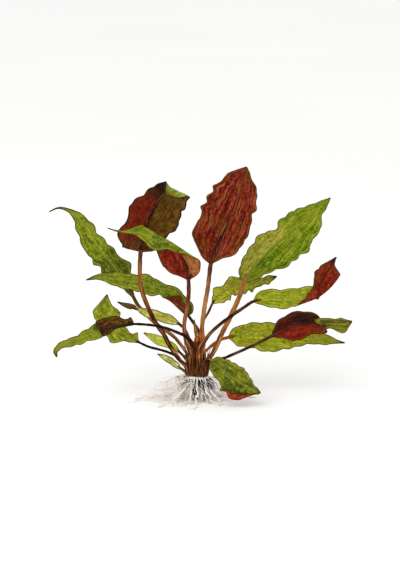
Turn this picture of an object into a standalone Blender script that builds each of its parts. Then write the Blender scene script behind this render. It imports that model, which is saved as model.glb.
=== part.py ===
"""Bare-root cryptocoryne, standing on the flat cut face of its rootstock.

Metres, +Z up. The origin is the middle of that cut face, and the front of the plant looks along -Y.
Leaves are laid out in millimetres as seen from the front, a little above the horizon: across to the
right, up, and depth away from the eye.
"""

import math
from typing import NamedTuple

import bmesh
import bpy
from mathutils import Quaternion, Vector

# Driving dimensions
MM = 0.001
GAP = 0.3
LAYOUT_TILT = math.radians(10.0)

# Crown: height above the cut face, radius, both in mm
CROWN_PROFILE = (
    (0.0, 6.0),
    (1.5, 6.4),
    (7.0, 5.6),
    (12.0, 6.2),
    (17.0, 7.8),
    (22.0, 7.2),
    (28.0, 5.6),
    (34.0, 4.2),
    (40.0, 3.3),
    (45.0, 2.6),
    (47.5, 1.5),
)
CROWN_SIDES = 14
CROWN_LUMP = 0.05

# Leaf section: place of its four inner points, and how its thickness falls towards the margin
INNER_ACROSS = 0.68
INNER_THICK = 0.7
BLADE_HALF_THICK = 0.5
FOOT_SWELL = 1.5
TIP_WIDTH = 0.35
STALK_RING_STEP = 12.0
BLADE_RING_STEP = 5.5
LEAST_BLADE_RINGS = 9

# Roots, in mm
ROOT_COUNT = 24
ROOT_SIDES = 6
ROOT_RADIUS = 0.9
ROOT_TIP_RADIUS = 0.4
ROOT_RINGS = 8
ROOT_HEIGHT = 15.5
ROOT_TIERS = (44.0, 19.0, 30.0)
ROOT_REACH_SPREAD = 4.0

# Colours, linear RGB
LEAF_GREEN = (0.19, 0.28, 0.05)
LEAF_RED = (0.23, 0.045, 0.035)
CROWN_BROWN = (0.09, 0.045, 0.03)
ROOT_PALE = (0.72, 0.64, 0.55)


class Rib(NamedTuple):
    """One cross-section of a blade, in mm and degrees. Left and right are the half widths, as seen on
    the upper side with the tip up. Roll turns the upper side away from the viewer. The lifts raise the
    two halves towards the upper side, and the curls fold their outer parts over it."""

    across: float
    up: float
    depth: float
    left: float
    right: float
    roll: float = 0.0
    lift_left: float = 14.0
    lift_right: float = 14.0
    curl_left: float = 0.0
    curl_right: float = 0.0


class Leaf(NamedTuple):
    """A leaf from its foot on the crown to its tip. The foot is the compass angle and height on the
    crown, and waves is the number of ruffles along a margin, their height in mm and their phase."""

    name: str
    foot: tuple
    stalk: tuple
    stalk_radius: tuple
    blade: tuple
    waves: tuple
    colour: tuple


LEAVES = (
    Leaf(
        "leaf_far_left",
        foot=(152.0, 31.0),
        stalk=((-11.5, 39, 6), (-16.5, 45, 9), (-23.5, 50.5, 12), (-34, 58, 16), (-39, 63.5, 18), (-45, 70, 20)),
        stalk_radius=(1.1, 0.9),
        blade=(
            Rib(-50, 80, 22, 1.2, 1.2, 5),
            Rib(-54, 87, 24, 4.8, 4.5, 5),
            Rib(-60, 95, 26, 9.4, 7.8, 5),
            Rib(-66.5, 103, 27, 10, 8.8, 0),
            Rib(-73, 111, 27, 9.6, 8.4, 0),
            Rib(-79, 119.5, 26, 8.2, 6.6, 0),
            Rib(-85.5, 130, 24, 6.6, 5.4, 0),
            Rib(-90.5, 136.5, 21, 3.8, 3.2, -5),
            Rib(-97, 141, 18, 1.4, 1.4, -10),
            Rib(-104, 143, 15, 0.9, 0.9, -10),
            Rib(-111.5, 140, 12, 0.4, 0.4, -10),
        ),
        waves=(4, 1.3, 0.0),
        colour=LEAF_GREEN,
    ),
    Leaf(
        "leaf_top_left",
        foot=(212.0, 25.0),
        stalk=(
            (-12.8, 28.5, -7), (-17, 34.5, -9), (-21.5, 41.5, -11.5), (-25, 48.5, -13.5), (-29.5, 54.5, -15),
            (-37, 68.5, -18), (-42.5, 84, -21), (-42.8, 98, -24),
        ),
        stalk_radius=(1.5, 1.25),
        blade=(
            Rib(-41.8, 111, -26, 1.5, 1.5, 180),
            Rib(-41.7, 111.8, -26.2, 8.5, 12.5, 180),
            Rib(-41.5, 114, -26.6, 11, 15.5, 180),
            Rib(-40.8, 118.5, -27.5, 14.5, 17.2, 182),
            Rib(-38.3, 128, -28.5, 18.8, 13.5, 184),
            Rib(-32.3, 140, -32, 20.5, 13.5, 182),
            Rib(-27.8, 148, -35, 19.2, 9.6, 180),
            Rib(-23, 154, -38.5, 17.5, 7.2, 180),
            Rib(-20, 157, -43, 16.5, 5.6, 180),
            Rib(-20.8, 155, -48, 13, 4, 180),
            Rib(-23.5, 151, -49.5, 2, 1.5, 180),
        ),
        waves=(3, 1.2, 1.0),
        colour=LEAF_RED,
    ),
    Leaf(
        "leaf_folded_left",
        foot=(222.0, 35.0),
        stalk=((-8.6, 45, -7), (-9.6, 54, -10), (-8, 65, -13), (-6.3, 76, -16)),
        stalk_radius=(1.4, 1.25),
        blade=(
            Rib(-6, 89, -20, 1.4, 1.4, 180),
            Rib(-6.3, 92.5, -21, 7.5, 9.5, 180, 10, 5),
            Rib(-8.2, 99, -23, 11.5, 13, 172, 0, 0),
            Rib(-12.5, 106, -27.5, 13.5, 14, 155, -36, -10),
            Rib(-18, 112.5, -32.5, 12, 13, 115, -60, -40),
            Rib(-26, 116.5, -36, 9.5, 9, 60, -30, -30),
            Rib(-36, 119.5, -38, 7, 5.5, 20, -5, 0),
            Rib(-47.5, 123.5, -41, 3.4, 3, 5),
            Rib(-57, 125.5, -42, 1.4, 1.4, 0),
            Rib(-64.5, 126, -42, 0.4, 0.4, 0),
        ),
        waves=(3, 1.0, 0.6),
        colour=LEAF_RED,
    ),
    Leaf(
        "leaf_middle_left",
        foot=(98.0, 41.0),
        stalk=((1.8, 46.5, 5.5), (0.5, 51.5, 6), (-3.5, 57.5, 6.5)),
        stalk_radius=(1.1, 1.0),
        blade=(
            Rib(-7.6, 63.5, 6, 1.1, 1.1, 180),
            Rib(-8.2, 67.5, 5.5, 6, 3, 178, 5, 5),
            Rib(-10, 73.5, 5, 7, 6.5, 165, 0, -10),
            Rib(-14.5, 79.5, 5, 8, 9.5, 115, -50, -60),
            Rib(-23, 83.5, 5, 8.5, 8, 45, -25, -30),
            Rib(-35.3, 85.5, 6, 7.2, 6.8, 5),
            Rib(-49.5, 87.8, 7.5, 5.2, 5.4, 0),
            Rib(-63.8, 90, 8, 4.2, 4.4, 0),
            Rib(-74.3, 90.5, 6, 1.8, 2.6, 0),
            Rib(-83.3, 88.5, 3, 0.4, 0.4, 0),
        ),
        waves=(4, 1.0, 0.4),
        colour=LEAF_GREEN,
    ),
    Leaf(
        "leaf_top_red",
        foot=(14.0, 43.0),
        stalk=((3.9, 52, -2.5), (4.8, 62.5, -5), (6.2, 72, -8), (8, 82, -11), (9.2, 92, -14)),
        stalk_radius=(1.6, 1.5),
        blade=(
            Rib(10.3, 100.5, -17, 1.6, 1.6, 180),
            Rib(11.2, 104, -18, 7.5, 9, 180),
            Rib(13.8, 110.5, -19.5, 14.5, 16, 180),
            Rib(17.4, 121, -22, 18.8, 20.4, 180),
            Rib(22.6, 132.5, -25, 18, 18.2, 180),
            Rib(28, 146, -29, 17, 15.6, 180),
            Rib(32.5, 159, -33, 12.5, 12, 180),
            Rib(35.2, 167, -37, 6, 7, 180),
            Rib(36.6, 172, -40, 0.4, 0.4, 180),
        ),
        waves=(4, 1.6, 0.2),
        colour=LEAF_RED,
    ),
    Leaf(
        "leaf_narrow_left",
        foot=(168.0, 39.0),
        stalk=((-7, 47.5, 2.5), (-10, 52.5, 2)),
        stalk_radius=(1.0, 0.9),
        blade=(
            Rib(-12.8, 55, 2, 0.9, 0.9, 0),
            Rib(-19.5, 58.1, 2, 3.2, 3.3, 0),
            Rib(-27.8, 61.5, 2, 3.2, 2.8, 0),
            Rib(-36.8, 64.5, 1.5, 2.6, 2.4, 5),
            Rib(-43, 66.2, 1, 1.6, 1.5, 40),
            Rib(-47.5, 67.3, 0, 2, 1.8, 140),
            Rib(-53, 69.3, -1, 1.7, 1.7, 180),
            Rib(-59.7, 72, -2, 0.35, 0.35, 180),
        ),
        waves=(2, 0.5, 0.4),
        colour=LEAF_GREEN,
    ),
    Leaf(
        "leaf_small_left",
        foot=(186.0, 28.0),
        stalk=((-11, 32.5, 0.5),),
        stalk_radius=(1.0, 0.9),
        blade=(
            Rib(-13, 34.3, 0.5, 0.9, 0.9, 0),
            Rib(-16, 36.8, 0.5, 1.9, 2.4, 0),
            Rib(-21.8, 40.5, 0, 2.6, 3, 0),
            Rib(-29.3, 43.3, -0.5, 3.3, 3, 0),
            Rib(-35.3, 46.2, -1, 1.8, 1.8, 0),
            Rib(-40, 48.8, -1, 0.35, 0.35, 0),
        ),
        waves=(2, 0.4, 0.0),
        colour=LEAF_GREEN,
    ),
    Leaf(
        "leaf_lowest_left",
        foot=(200.0, 20.0),
        stalk=((-11, 21.5, -3.8),),
        stalk_radius=(0.9, 0.85),
        blade=(
            Rib(-12.4, 22.3, -4.2, 0.85, 0.85, 0),
            Rib(-14.4, 23.8, -4.8, 1.9, 2, 0),
            Rib(-18.8, 27.3, -5.6, 2.3, 2.5, 0),
            Rib(-24, 30.6, -6.8, 2.1, 2.2, 0),
            Rib(-29.6, 33.3, -7.6, 0.35, 0.35, 0),
        ),
        waves=(1, 0.3, 0.0),
        colour=LEAF_GREEN,
    ),
    Leaf(
        "leaf_arched_left",
        foot=(262.0, 38.0),
        stalk=((-7.5, 45.8, -12), (-15, 49.5, -15), (-22.5, 52.5, -18), (-30, 54.3, -20), (-40, 55.5, -21.5)),
        stalk_radius=(1.1, 0.85),
        blade=(
            Rib(-48, 55.7, -22.5, 0.9, 0.9, 180),
            Rib(-50, 55.4, -22.6, 5.4, 2.2, 180),
            Rib(-55, 54.8, -23, 6, 2.2, 180),
            Rib(-62.3, 53.3, -23.5, 8.6, 3.4, 178),
            Rib(-68.3, 51.6, -24, 7, 5, 160, -10, -10),
            Rib(-73.5, 50.4, -24.5, 6.5, 6, 90, -60, -50),
            Rib(-79.5, 48.4, -25, 4.8, 4.2, 15, -5, 0),
            Rib(-87.8, 45.4, -26, 4.3, 3.3, 0),
            Rib(-96.8, 42, -27, 3.2, 2.3, 0),
            Rib(-102.8, 39, -28, 2, 1.6, 0),
            Rib(-106, 35.3, -29, 1.2, 1.2, 0),
            Rib(-104, 30.9, -29.5, 0.35, 0.35, 0),
        ),
        waves=(3, 0.8, 0.0),
        colour=LEAF_GREEN,
    ),
    Leaf(
        "leaf_diamond_left",
        foot=(164.0, 22.5),
        stalk=((-11, 26.6, 1.5), (-15, 31, 2), (-21.5, 34.2, 2.5), (-28, 36.2, 3), (-36.3, 38.4, 3)),
        stalk_radius=(1.0, 0.8),
        blade=(
            Rib(-43.3, 41.6, 3, 0.9, 0.9, 0),
            Rib(-47, 43.6, 3, 2.4, 3, 0),
            Rib(-51, 46, 3, 4.5, 3.8, 0),
            Rib(-57.8, 50.5, 2.5, 9, 5.2, 0),
            Rib(-64, 56.5, 2, 8.5, 8.2, 0),
            Rib(-67.5, 63, 1, 9.5, 8.8, 0),
            Rib(-68.3, 70.2, 0, 5.2, 4.2, 0),
            Rib(-67.4, 77.8, -1, 0.4, 0.4, 0),
        ),
        waves=(3, 0.9, 0.5),
        colour=LEAF_GREEN,
    ),
    Leaf(
        "leaf_big_right",
        foot=(357.0, 29.0),
        stalk=((11.8, 33.5, 0), (16.1, 42.4, 2), (18.8, 48.4, 4), (26.6, 64, 9), (33, 78.8, 13)),
        stalk_radius=(1.8, 1.7),
        blade=(
            Rib(35.6, 87, 15, 1.7, 1.7, 0),
            Rib(37.6, 91, 16, 6.5, 5.8, 0),
            Rib(40.8, 95.5, 17.5, 9.4, 8, 0),
            Rib(46, 101.5, 19.5, 12, 11.5, 0),
            Rib(55, 111, 23, 12.8, 16.8, 0),
            Rib(65.8, 121.4, 28, 11.2, 19.2, 0),
            Rib(78.4, 131.8, 34, 11, 16.2, 0),
            Rib(91.2, 142.4, 40, 5.2, 8.2, 0),
            Rib(101.8, 151.4, 44, 0.4, 0.4, 0),
        ),
        waves=(5, 1.7, 0.0),
        colour=LEAF_GREEN,
    ),
    Leaf(
        "leaf_behind_right",
        foot=(56.0, 42.0),
        stalk=((4.4, 57.5, 10), (8.5, 64, 15)),
        stalk_radius=(0.95, 0.8),
        blade=(
            Rib(11.8, 71, 20, 0.9, 0.9, 0),
            Rib(14, 74.5, 22, 4.8, 4.6, 0),
            Rib(18.8, 78.6, 25, 6.8, 6.4, 0),
            Rib(27.8, 84, 30, 6.6, 6.6, 0),
            Rib(38.3, 86.3, 34, 4.6, 8, 0),
            Rib(48.8, 87.8, 36, 2.2, 2.6, 0),
            Rib(55, 89.6, 36, 2.6, 3.2, 0),
            Rib(60.8, 91.3, 35, 0.5, 0.5, 0),
        ),
        waves=(3, 1.4, 0.3),
        colour=LEAF_GREEN,
    ),
    Leaf(
        "leaf_turned_right",
        foot=(300.0, 39.0),
        stalk=((9.5, 48.2, -10), (16.5, 54.8, -11), (26, 61.9, -13), (34.5, 67.7, -14)),
        stalk_radius=(1.2, 1.1),
        blade=(
            Rib(42.3, 72.6, -15, 1.1, 1.1, 0),
            Rib(45, 73.6, -15.2, 5, 3.4, 0),
            Rib(51, 74.2, -15.6, 7, 5, 0),
            Rib(62.3, 74.6, -16, 6.5, 7, 0),
            Rib(72, 75.8, -17, 6.4, 7.2, -5),
            Rib(79.5, 76.8, -18.5, 5.6, 7.4, -35, 10, 30),
            Rib(87, 79.6, -20.5, 5.6, 6.5, -110, 20, 40),
            Rib(91.7, 83.6, -22, 7.5, 7.6, -165, 10, 15),
            Rib(95.3, 88.5, -23.5, 8.7, 8.8, -180),
            Rib(98.6, 94.5, -25, 8.8, 7.2, -180),
            Rib(102, 100, -26, 2.8, 3.2, -180),
            Rib(105.8, 104.6, -27, 0.4, 0.4, -180),
        ),
        waves=(3, 0.9, 0.2),
        colour=LEAF_GREEN,
    ),
    Leaf(
        "leaf_low_right",
        foot=(18.0, 35.0),
        stalk=((12.8, 40.5, 6), (17.9, 43.6, 9)),
        stalk_radius=(1.2, 1.1),
        blade=(
            Rib(23.8, 45.3, 11, 1.1, 1.1, 0),
            Rib(27, 46, 12, 6, 5.2, 0),
            Rib(32.3, 46.5, 13.5, 7.6, 7.4, 0),
            Rib(43.5, 46.9, 16, 9.6, 10.4, 0),
            Rib(56.3, 46.1, 19, 10.4, 11.2, 0),
            Rib(69.8, 45.4, 21, 9, 8.2, 0),
            Rib(83.3, 44.6, 22, 6.6, 5, 0),
            Rib(96, 43.5, 22, 3.4, 2.8, 0),
            Rib(105, 42, 21, 1.1, 1.1, 0),
            Rib(111.8, 41, 20, 0.35, 0.35, 0),
        ),
        waves=(4, 1.2, 0.0),
        colour=LEAF_GREEN,
    ),
    Leaf(
        "leaf_red_right",
        foot=(336.0, 25.0),
        stalk=((13, 28.5, -7), (20, 30, -10), (25, 32.2, -12), (37, 37.5, -15), (46.5, 42, -17)),
        stalk_radius=(1.3, 1.1),
        blade=(
            Rib(55.6, 46.8, -18.5, 1.1, 1.1, -180),
            Rib(59.3, 48.8, -19, 4, 4.6, -180),
            Rib(68.3, 53, -20, 11, 9.2, -180),
            Rib(77.6, 55, -21, 9.8, 10.4, -178),
            Rib(85.2, 53.4, -21.5, 5.4, 9.4, -165, 10, 10),
            Rib(92.3, 52.3, -22, 8, 7.4, -110, 50, 55),
            Rib(99, 52.3, -22.5, 8, 3, -50, 20, 20),
            Rib(105.8, 53.8, -23, 6, 4.4, -8),
            Rib(111.8, 56.2, -23.5, 3.6, 4.2, 0),
            Rib(115.2, 57.8, -24, 0.5, 0.5, 0),
        ),
        waves=(3, 0.9, 0.6),
        colour=LEAF_RED,
    ),
    Leaf(
        "leaf_front_right",
        foot=(308.0, 27.0),
        stalk=((9, 28.8, -11),),
        stalk_radius=(1.3, 1.2),
        blade=(
            Rib(10.2, 28.4, -13, 1.3, 1.3, 0),
            Rib(12.8, 26.4, -16, 5.5, 5, 0),
            Rib(17.3, 23, -20, 7.5, 7.5, 0),
            Rib(24, 18, -25, 9.4, 9.6, 0),
            Rib(31.5, 12.6, -30, 9.6, 15.5, 0, 10, 5, 0, 130),
            Rib(38, 8.8, -33, 6.6, 15, 0, 10, 0, 0, 160),
            Rib(43, 6.6, -35, 3.6, 7, 0, 10, 0, 0, 130),
            Rib(47, 5, -36, 0.4, 0.4, 0),
        ),
        waves=(3, 1.0, 0.0),
        colour=LEAF_GREEN,
    ),
)


def laid_out(across, up, depth):
    """Place in mm, in the plant's frame, of a point laid out as seen from the front."""
    return Vector(
        (
            across,
            depth * math.cos(LAYOUT_TILT) + up * math.sin(LAYOUT_TILT),
            up * math.cos(LAYOUT_TILT) - depth * math.sin(LAYOUT_TILT),
        )
    )


TO_VIEWER = laid_out(0.0, 0.0, -1.0)


def crown_radius(height):
    """Radius of the crown at a height, in mm."""
    for (low, low_radius), (high, high_radius) in zip(CROWN_PROFILE, CROWN_PROFILE[1:]):
        if height <= high:
            share = (height - low) / (high - low)
            return low_radius + share * (high_radius - low_radius)
    return CROWN_PROFILE[-1][1]


def slopes(rows, knots):
    """Slope of each column at each row, from the parabola through its neighbours."""
    steps = [(b - a) / (t - s) for a, b, s, t in zip(rows, rows[1:], knots, knots[1:])]
    found = [steps[0]]
    for i in range(1, len(rows) - 1):
        before = knots[i] - knots[i - 1]
        after = knots[i + 1] - knots[i]
        found.append((steps[i - 1] * after + steps[i] * before) / (before + after))
    found.append(steps[-1])
    return found


def read_between(rows, knots, at, tangents):
    """Row at a length along a smooth curve through all rows."""
    i = max(k for k in range(len(knots) - 1) if knots[k] <= at or k == 0)
    span = knots[i + 1] - knots[i]
    s = (at - knots[i]) / span
    return (
        rows[i] * (2 * s**3 - 3 * s**2 + 1)
        + tangents[i] * (span * (s**3 - 2 * s**2 + s))
        + rows[i + 1] * (3 * s**2 - 2 * s**3)
        + tangents[i + 1] * (span * (s**3 - s**2))
    )


def leaf_rows(leaf):
    """Rows of a leaf from foot to tip, each of place, half widths, half thickness, roll, lifts and curls,
    and the number of rows before the blade."""
    azimuth = math.radians(leaf.foot[0])
    height = leaf.foot[1]
    foot_radius, top_radius = leaf.stalk_radius
    reach = crown_radius(height) + GAP + foot_radius * FOOT_SWELL
    base_roll = leaf.blade[0].roll
    places = [Vector((reach * math.cos(azimuth), reach * math.sin(azimuth), height))]
    places += [laid_out(*point) for point in leaf.stalk]
    rows = []
    for i, place in enumerate(places):
        radius = foot_radius + (top_radius - foot_radius) * i / len(places)
        if i == 0:
            radius *= FOOT_SWELL
        rows.append(Vector((*place, radius, radius, radius, base_roll, 0.0, 0.0, 0.0, 0.0)))
    for i, rib in enumerate(leaf.blade):
        thick = top_radius if i == 0 else BLADE_HALF_THICK
        place = laid_out(rib.across, rib.up, rib.depth)
        folds = (0.0, 0.0, 0.0, 0.0) if i == 0 else rib[6:]
        rows.append(Vector((*place, rib.left, rib.right, thick, rib.roll, *folds)))
    return rows, len(places)


def half_section(width, lift, curl, thick, wave, outward):
    """Three points of one half of a section, as across and above the midrib in mm: the inner one on the
    upper side, the margin, and the inner one on the underside. Outward is -1 to the left, 1 to the right."""
    inner_angle = math.radians(lift)
    outer_angle = math.radians(lift + curl)
    crease_angle = (inner_angle + outer_angle) / 2
    crease = Vector((math.cos(inner_angle), math.sin(inner_angle))) * (width * INNER_ACROSS)
    margin = crease + Vector((math.cos(outer_angle), math.sin(outer_angle))) * (width * (1 - INNER_ACROSS))
    crease_normal = Vector((-math.sin(crease_angle), math.cos(crease_angle)))
    margin_normal = Vector((-math.sin(outer_angle), math.cos(outer_angle)))
    half = thick * INNER_THICK
    middle = crease + crease_normal * (wave * INNER_ACROSS**2)
    points = (middle + crease_normal * half, margin + margin_normal * wave, middle - crease_normal * half)
    return [Vector((outward * point.x, point.y)) for point in points]


def section(sample, thick, wave_left, wave_right):
    """Eight points of a leaf's section in mm, as across and above the midrib: the left margin, over the
    upper side to the right margin, and back under the blade."""
    left, right, _, _, lift_left, lift_right, curl_left, curl_right = sample
    upper_left, left_edge, under_left = half_section(
        max(left, TIP_WIDTH), lift_left, curl_left, thick, wave_left, -1
    )
    upper_right, right_edge, under_right = half_section(
        max(right, TIP_WIDTH), lift_right, curl_right, thick, wave_right, 1
    )
    top = Vector((0.0, thick))
    return [left_edge, upper_left, top, upper_right, right_edge, under_right, -top, under_left]


def leaf_rings(leaf):
    """Rings of eight points each along a leaf, in mm, from foot to tip."""
    rows, stalk_rows = leaf_rows(leaf)
    knots = [0.0]
    for a, b in zip(rows, rows[1:]):
        knots.append(knots[-1] + (Vector(b[:3]) - Vector(a[:3])).length)
    tangents = slopes(rows, knots)
    start = knots[stalk_rows]
    blade_length = knots[-1] - start
    stalk_count = max(2, round(start / STALK_RING_STEP))
    blade_count = max(LEAST_BLADE_RINGS, round(blade_length / BLADE_RING_STEP))
    stations = [start * i / stalk_count for i in range(stalk_count)]
    stations += [start + blade_length * i / blade_count for i in range(blade_count + 1)]
    samples = [read_between(rows, knots, at, tangents) for at in stations]
    centres = [Vector(sample[:3]) for sample in samples]
    ways = []
    for i in range(len(centres)):
        ahead = centres[min(i + 1, len(centres) - 1)]
        behind = centres[max(i - 1, 0)]
        ways.append((ahead - behind).normalized())
    first = stalk_count
    facing = [None] * len(ways)
    facing[first] = (TO_VIEWER - ways[first] * TO_VIEWER.dot(ways[first])).normalized()
    for i in range(first + 1, len(ways)):
        facing[i] = ways[i - 1].rotation_difference(ways[i]) @ facing[i - 1]
    for i in range(first - 1, -1, -1):
        facing[i] = ways[i + 1].rotation_difference(ways[i]) @ facing[i + 1]
    count, height, phase = leaf.waves
    rings = []
    for at, sample, centre, way, face in zip(stations, samples, centres, ways, facing):
        left, right, thick, roll = sample[3:7]
        share = max(0.0, (at - start) / blade_length)
        swell = height * math.sqrt(max(0.0, math.sin(math.pi * share)))
        turn = 2 * math.pi * (count * share + phase)
        face = Quaternion(way, math.radians(roll)) @ face
        side = way.cross(face)
        outline = section(
            sample[3:],
            min(thick, max(left, right, TIP_WIDTH)),
            swell * math.sin(turn),
            swell * math.sin(turn + 0.9 * math.pi),
        )
        rings.append([centre + side * x + face * y for x, y in outline])
    return rings


def lofted(name, rings, material):
    """Object with one closed skin through rings of points in mm, capped at both ends."""
    mesh = bmesh.new()
    layers = [[mesh.verts.new(point * MM) for point in ring] for ring in rings]
    for lower, upper in zip(layers, layers[1:]):
        for i in range(len(lower)):
            j = (i + 1) % len(lower)
            mesh.faces.new((lower[i], lower[j], upper[j], upper[i]))
    mesh.faces.new(list(reversed(layers[0])))
    mesh.faces.new(layers[-1])
    bmesh.ops.triangulate(mesh, faces=mesh.faces)
    bmesh.ops.recalc_face_normals(mesh, faces=mesh.faces)
    data = bpy.data.meshes.new(name)
    mesh.to_mesh(data)
    mesh.free()
    data.shade_smooth()
    data.set_sharp_from_angle(angle=math.radians(60.0))
    data.materials.append(material)
    piece = bpy.data.objects.new(name, data)
    bpy.context.scene.collection.objects.link(piece)
    return piece


def finish(name, colour, roughness):
    """Material of one colour."""
    material = bpy.data.materials.new(name)
    material.use_nodes = True
    shader = material.node_tree.nodes["Principled BSDF"]
    shader.inputs["Base Color"].default_value = (*colour, 1.0)
    shader.inputs["Roughness"].default_value = roughness
    shader.inputs["Metallic"].default_value = 0.0
    return material


def tube(path, radii, sides, turn=0.0):
    """Rings of a round tube along a path in mm."""
    ways = []
    for i in range(len(path)):
        ways.append((path[min(i + 1, len(path) - 1)] - path[max(i - 1, 0)]).normalized())
    face = ways[0].orthogonal().normalized()
    face = Quaternion(ways[0], turn) @ face
    rings = []
    for i, (centre, way, radius) in enumerate(zip(path, ways, radii)):
        if i:
            face = ways[i - 1].rotation_difference(way) @ face
        side = way.cross(face)
        ring = []
        for k in range(sides):
            angle = 2 * math.pi * k / sides
            ring.append(centre + side * (radius * math.cos(angle)) + face * (radius * math.sin(angle)))
        rings.append(ring)
    return rings


def build_crown(material):
    """Rootstock and crown, one piece, flat on its cut face."""
    rings = []
    for height, radius in CROWN_PROFILE:
        ring = []
        for k in range(CROWN_SIDES):
            angle = 2 * math.pi * k / CROWN_SIDES
            lump = 1.0 - CROWN_LUMP * (1 + math.sin(3 * angle + height * 0.35))
            ring.append(Vector((radius * lump * math.cos(angle), radius * lump * math.sin(angle), height)))
        rings.append(ring)
    return lofted("crown", rings, material)


def root_path(index):
    """Centre line and radii of a root, in mm: down beside the rootstock, out and along the surface."""
    azimuth = 2 * math.pi * index / ROOT_COUNT
    outward = Vector((math.cos(azimuth), math.sin(azimuth), 0.0))
    beside = Vector((-outward.y, outward.x, 0.0))
    tier = ROOT_TIERS[index % len(ROOT_TIERS)]
    reach = tier + ROOT_REACH_SPREAD * math.sin(2.3 * index)
    sway = 0.1 * tier * math.sin(1.7 * index + 0.5)
    start = crown_radius(ROOT_HEIGHT) + GAP + ROOT_RADIUS
    path = []
    radii = []
    for i in range(ROOT_RINGS + 1):
        share = i / ROOT_RINGS
        radius = ROOT_RADIUS + (ROOT_TIP_RADIUS - ROOT_RADIUS) * share
        turn = math.pi / 2 * share**0.8
        out = start + (reach - start) * (1 - math.cos(turn))
        height = radius + (ROOT_HEIGHT - radius) * (1 - math.sin(turn))
        path.append(outward * out + beside * (sway * share * share) + Vector((0.0, 0.0, height)))
        radii.append(radius)
    return path, radii


def build_roots(material):
    """Main roots, each one piece, spread round the crown."""
    for index in range(ROOT_COUNT):
        path, radii = root_path(index)
        lofted(f"root_{index + 1:02d}", tube(path, radii, ROOT_SIDES), material)


def build_spear(material):
    """Rolled young leaf on the middle of the crown."""
    path = [Vector((-0.6 - 0.5 * k, 0.3 * k, 47.5 + GAP + 4.0 * k)) for k in range(4)]
    lofted("young_spear", tube(path, (0.8, 1.3, 1.1, 0.35), 8), material)


def main():
    """Clears the scene and builds the plant."""
    for thing in list(bpy.data.objects):
        bpy.data.objects.remove(thing, do_unlink=True)
    build_crown(finish("crown_brown", CROWN_BROWN, 0.8))
    finishes = {
        LEAF_GREEN: finish("leaf_green", LEAF_GREEN, 0.5),
        LEAF_RED: finish("leaf_red", LEAF_RED, 0.5),
    }
    for leaf in LEAVES:
        lofted(leaf.name, leaf_rings(leaf), finishes[leaf.colour])
    build_spear(finish("spear_red", LEAF_RED, 0.5))
    build_roots(finish("root_pale", ROOT_PALE, 0.6))


main()
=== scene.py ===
"""Dressed model of a bare-root cryptocoryne: ruffled leaves, green above and red below, on a sheathed crown.

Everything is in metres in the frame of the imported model: +Z up, the origin in the middle of the rootstock's
flat cut face, and the front of the plant towards -Y. The leaves are laid out in millimetres as seen from the
front, a little above the horizon: across to the right, up, and depth away from the eye.
"""

import logging
import math
import random
from dataclasses import dataclass, field, replace
from enum import Enum

import bmesh
import bpy
import numpy as np
from bpy.types import Material, Mesh, Node, NodeSocket, NodeTree, Object
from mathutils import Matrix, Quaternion, Vector, noise

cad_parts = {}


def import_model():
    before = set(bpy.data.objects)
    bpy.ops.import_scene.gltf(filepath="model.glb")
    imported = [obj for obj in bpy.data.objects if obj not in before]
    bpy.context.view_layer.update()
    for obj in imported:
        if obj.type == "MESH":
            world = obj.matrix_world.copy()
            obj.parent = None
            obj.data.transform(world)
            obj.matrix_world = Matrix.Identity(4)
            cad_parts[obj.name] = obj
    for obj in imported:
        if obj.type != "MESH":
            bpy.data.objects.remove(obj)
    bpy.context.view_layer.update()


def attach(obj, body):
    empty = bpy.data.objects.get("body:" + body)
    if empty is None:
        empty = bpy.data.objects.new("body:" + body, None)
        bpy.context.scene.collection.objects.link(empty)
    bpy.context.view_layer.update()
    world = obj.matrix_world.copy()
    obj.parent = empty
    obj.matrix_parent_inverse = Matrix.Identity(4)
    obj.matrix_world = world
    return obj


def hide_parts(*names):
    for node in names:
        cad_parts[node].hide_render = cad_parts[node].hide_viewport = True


LOG = logging.getLogger("cryptocoryne")

MM = 0.001
BODY = "root"
LAYOUT_TILT = math.radians(10.0)
UP = Vector((0.0, 0.0, 1.0))

# Gap between the crown and what stands on it, in mm, and how far out a stalk's foot stands, in its own radii
FOOT_GAP = 0.3
FOOT_SET = 1.5

# How far the right margin's arcs run behind the left one's, and the count of numbers that every rib gives
RIGHT_LAG = 0.37
RIB_START = 5

# Wet plant skin bends light as water does
PLANT_IOR = 1.33

# Attributes that the materials read: shares across and along a piece, and lengths across and along it in mm
PLACE = "place"
LAY = "lay"

# Crown: height above the cut face, radius, both in mm
CROWN_PROFILE = (
    (0.0, 6.0), (1.5, 6.4), (7.0, 5.6), (12.0, 6.2), (17.0, 7.8), (22.0, 7.2), (28.0, 5.6), (34.0, 4.2), (40.0, 3.3),
    (45.0, 2.6), (47.5, 1.5),
)


class Half(Enum):
    """Half of a blade, as seen on its upper side with the tip up."""

    LEFT = -1
    RIGHT = 1


@dataclass(frozen=True)
class Rib:
    """One cross-section of a blade, in mm and degrees.

    Left and right are the half widths. Roll turns the upper side away from the viewer, the lifts raise the
    two halves towards the upper side, and the curls fold their outer parts over it.
    """

    across: float
    up: float
    depth: float
    left: float
    right: float
    roll: float = 0.0
    lift_left: float = 14.0
    lift_right: float = 14.0
    curl_left: float = 0.0
    curl_right: float = 0.0


@dataclass(frozen=True)
class LeafShape:
    """A leaf from its foot on the crown to its tip.

    The foot is the compass angle and height on the crown. Waves are the number of ruffles along a margin,
    their height in mm and their phase.
    """

    node: str
    foot: tuple[float, float]
    stalk: tuple[tuple[float, float, float], ...]
    stalk_radius: tuple[float, float]
    blade: tuple[Rib, ...]
    waves: tuple[float, float, float]


def ribs(*rows: tuple[float, ...], rest: tuple[float, ...] = ()) -> tuple[Rib, ...]:
    """Cross-sections from rows of their numbers, where a row that stops early goes on with the rest they share."""
    return tuple(Rib(*row, *rest[len(row) - RIB_START :]) for row in rows)


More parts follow.
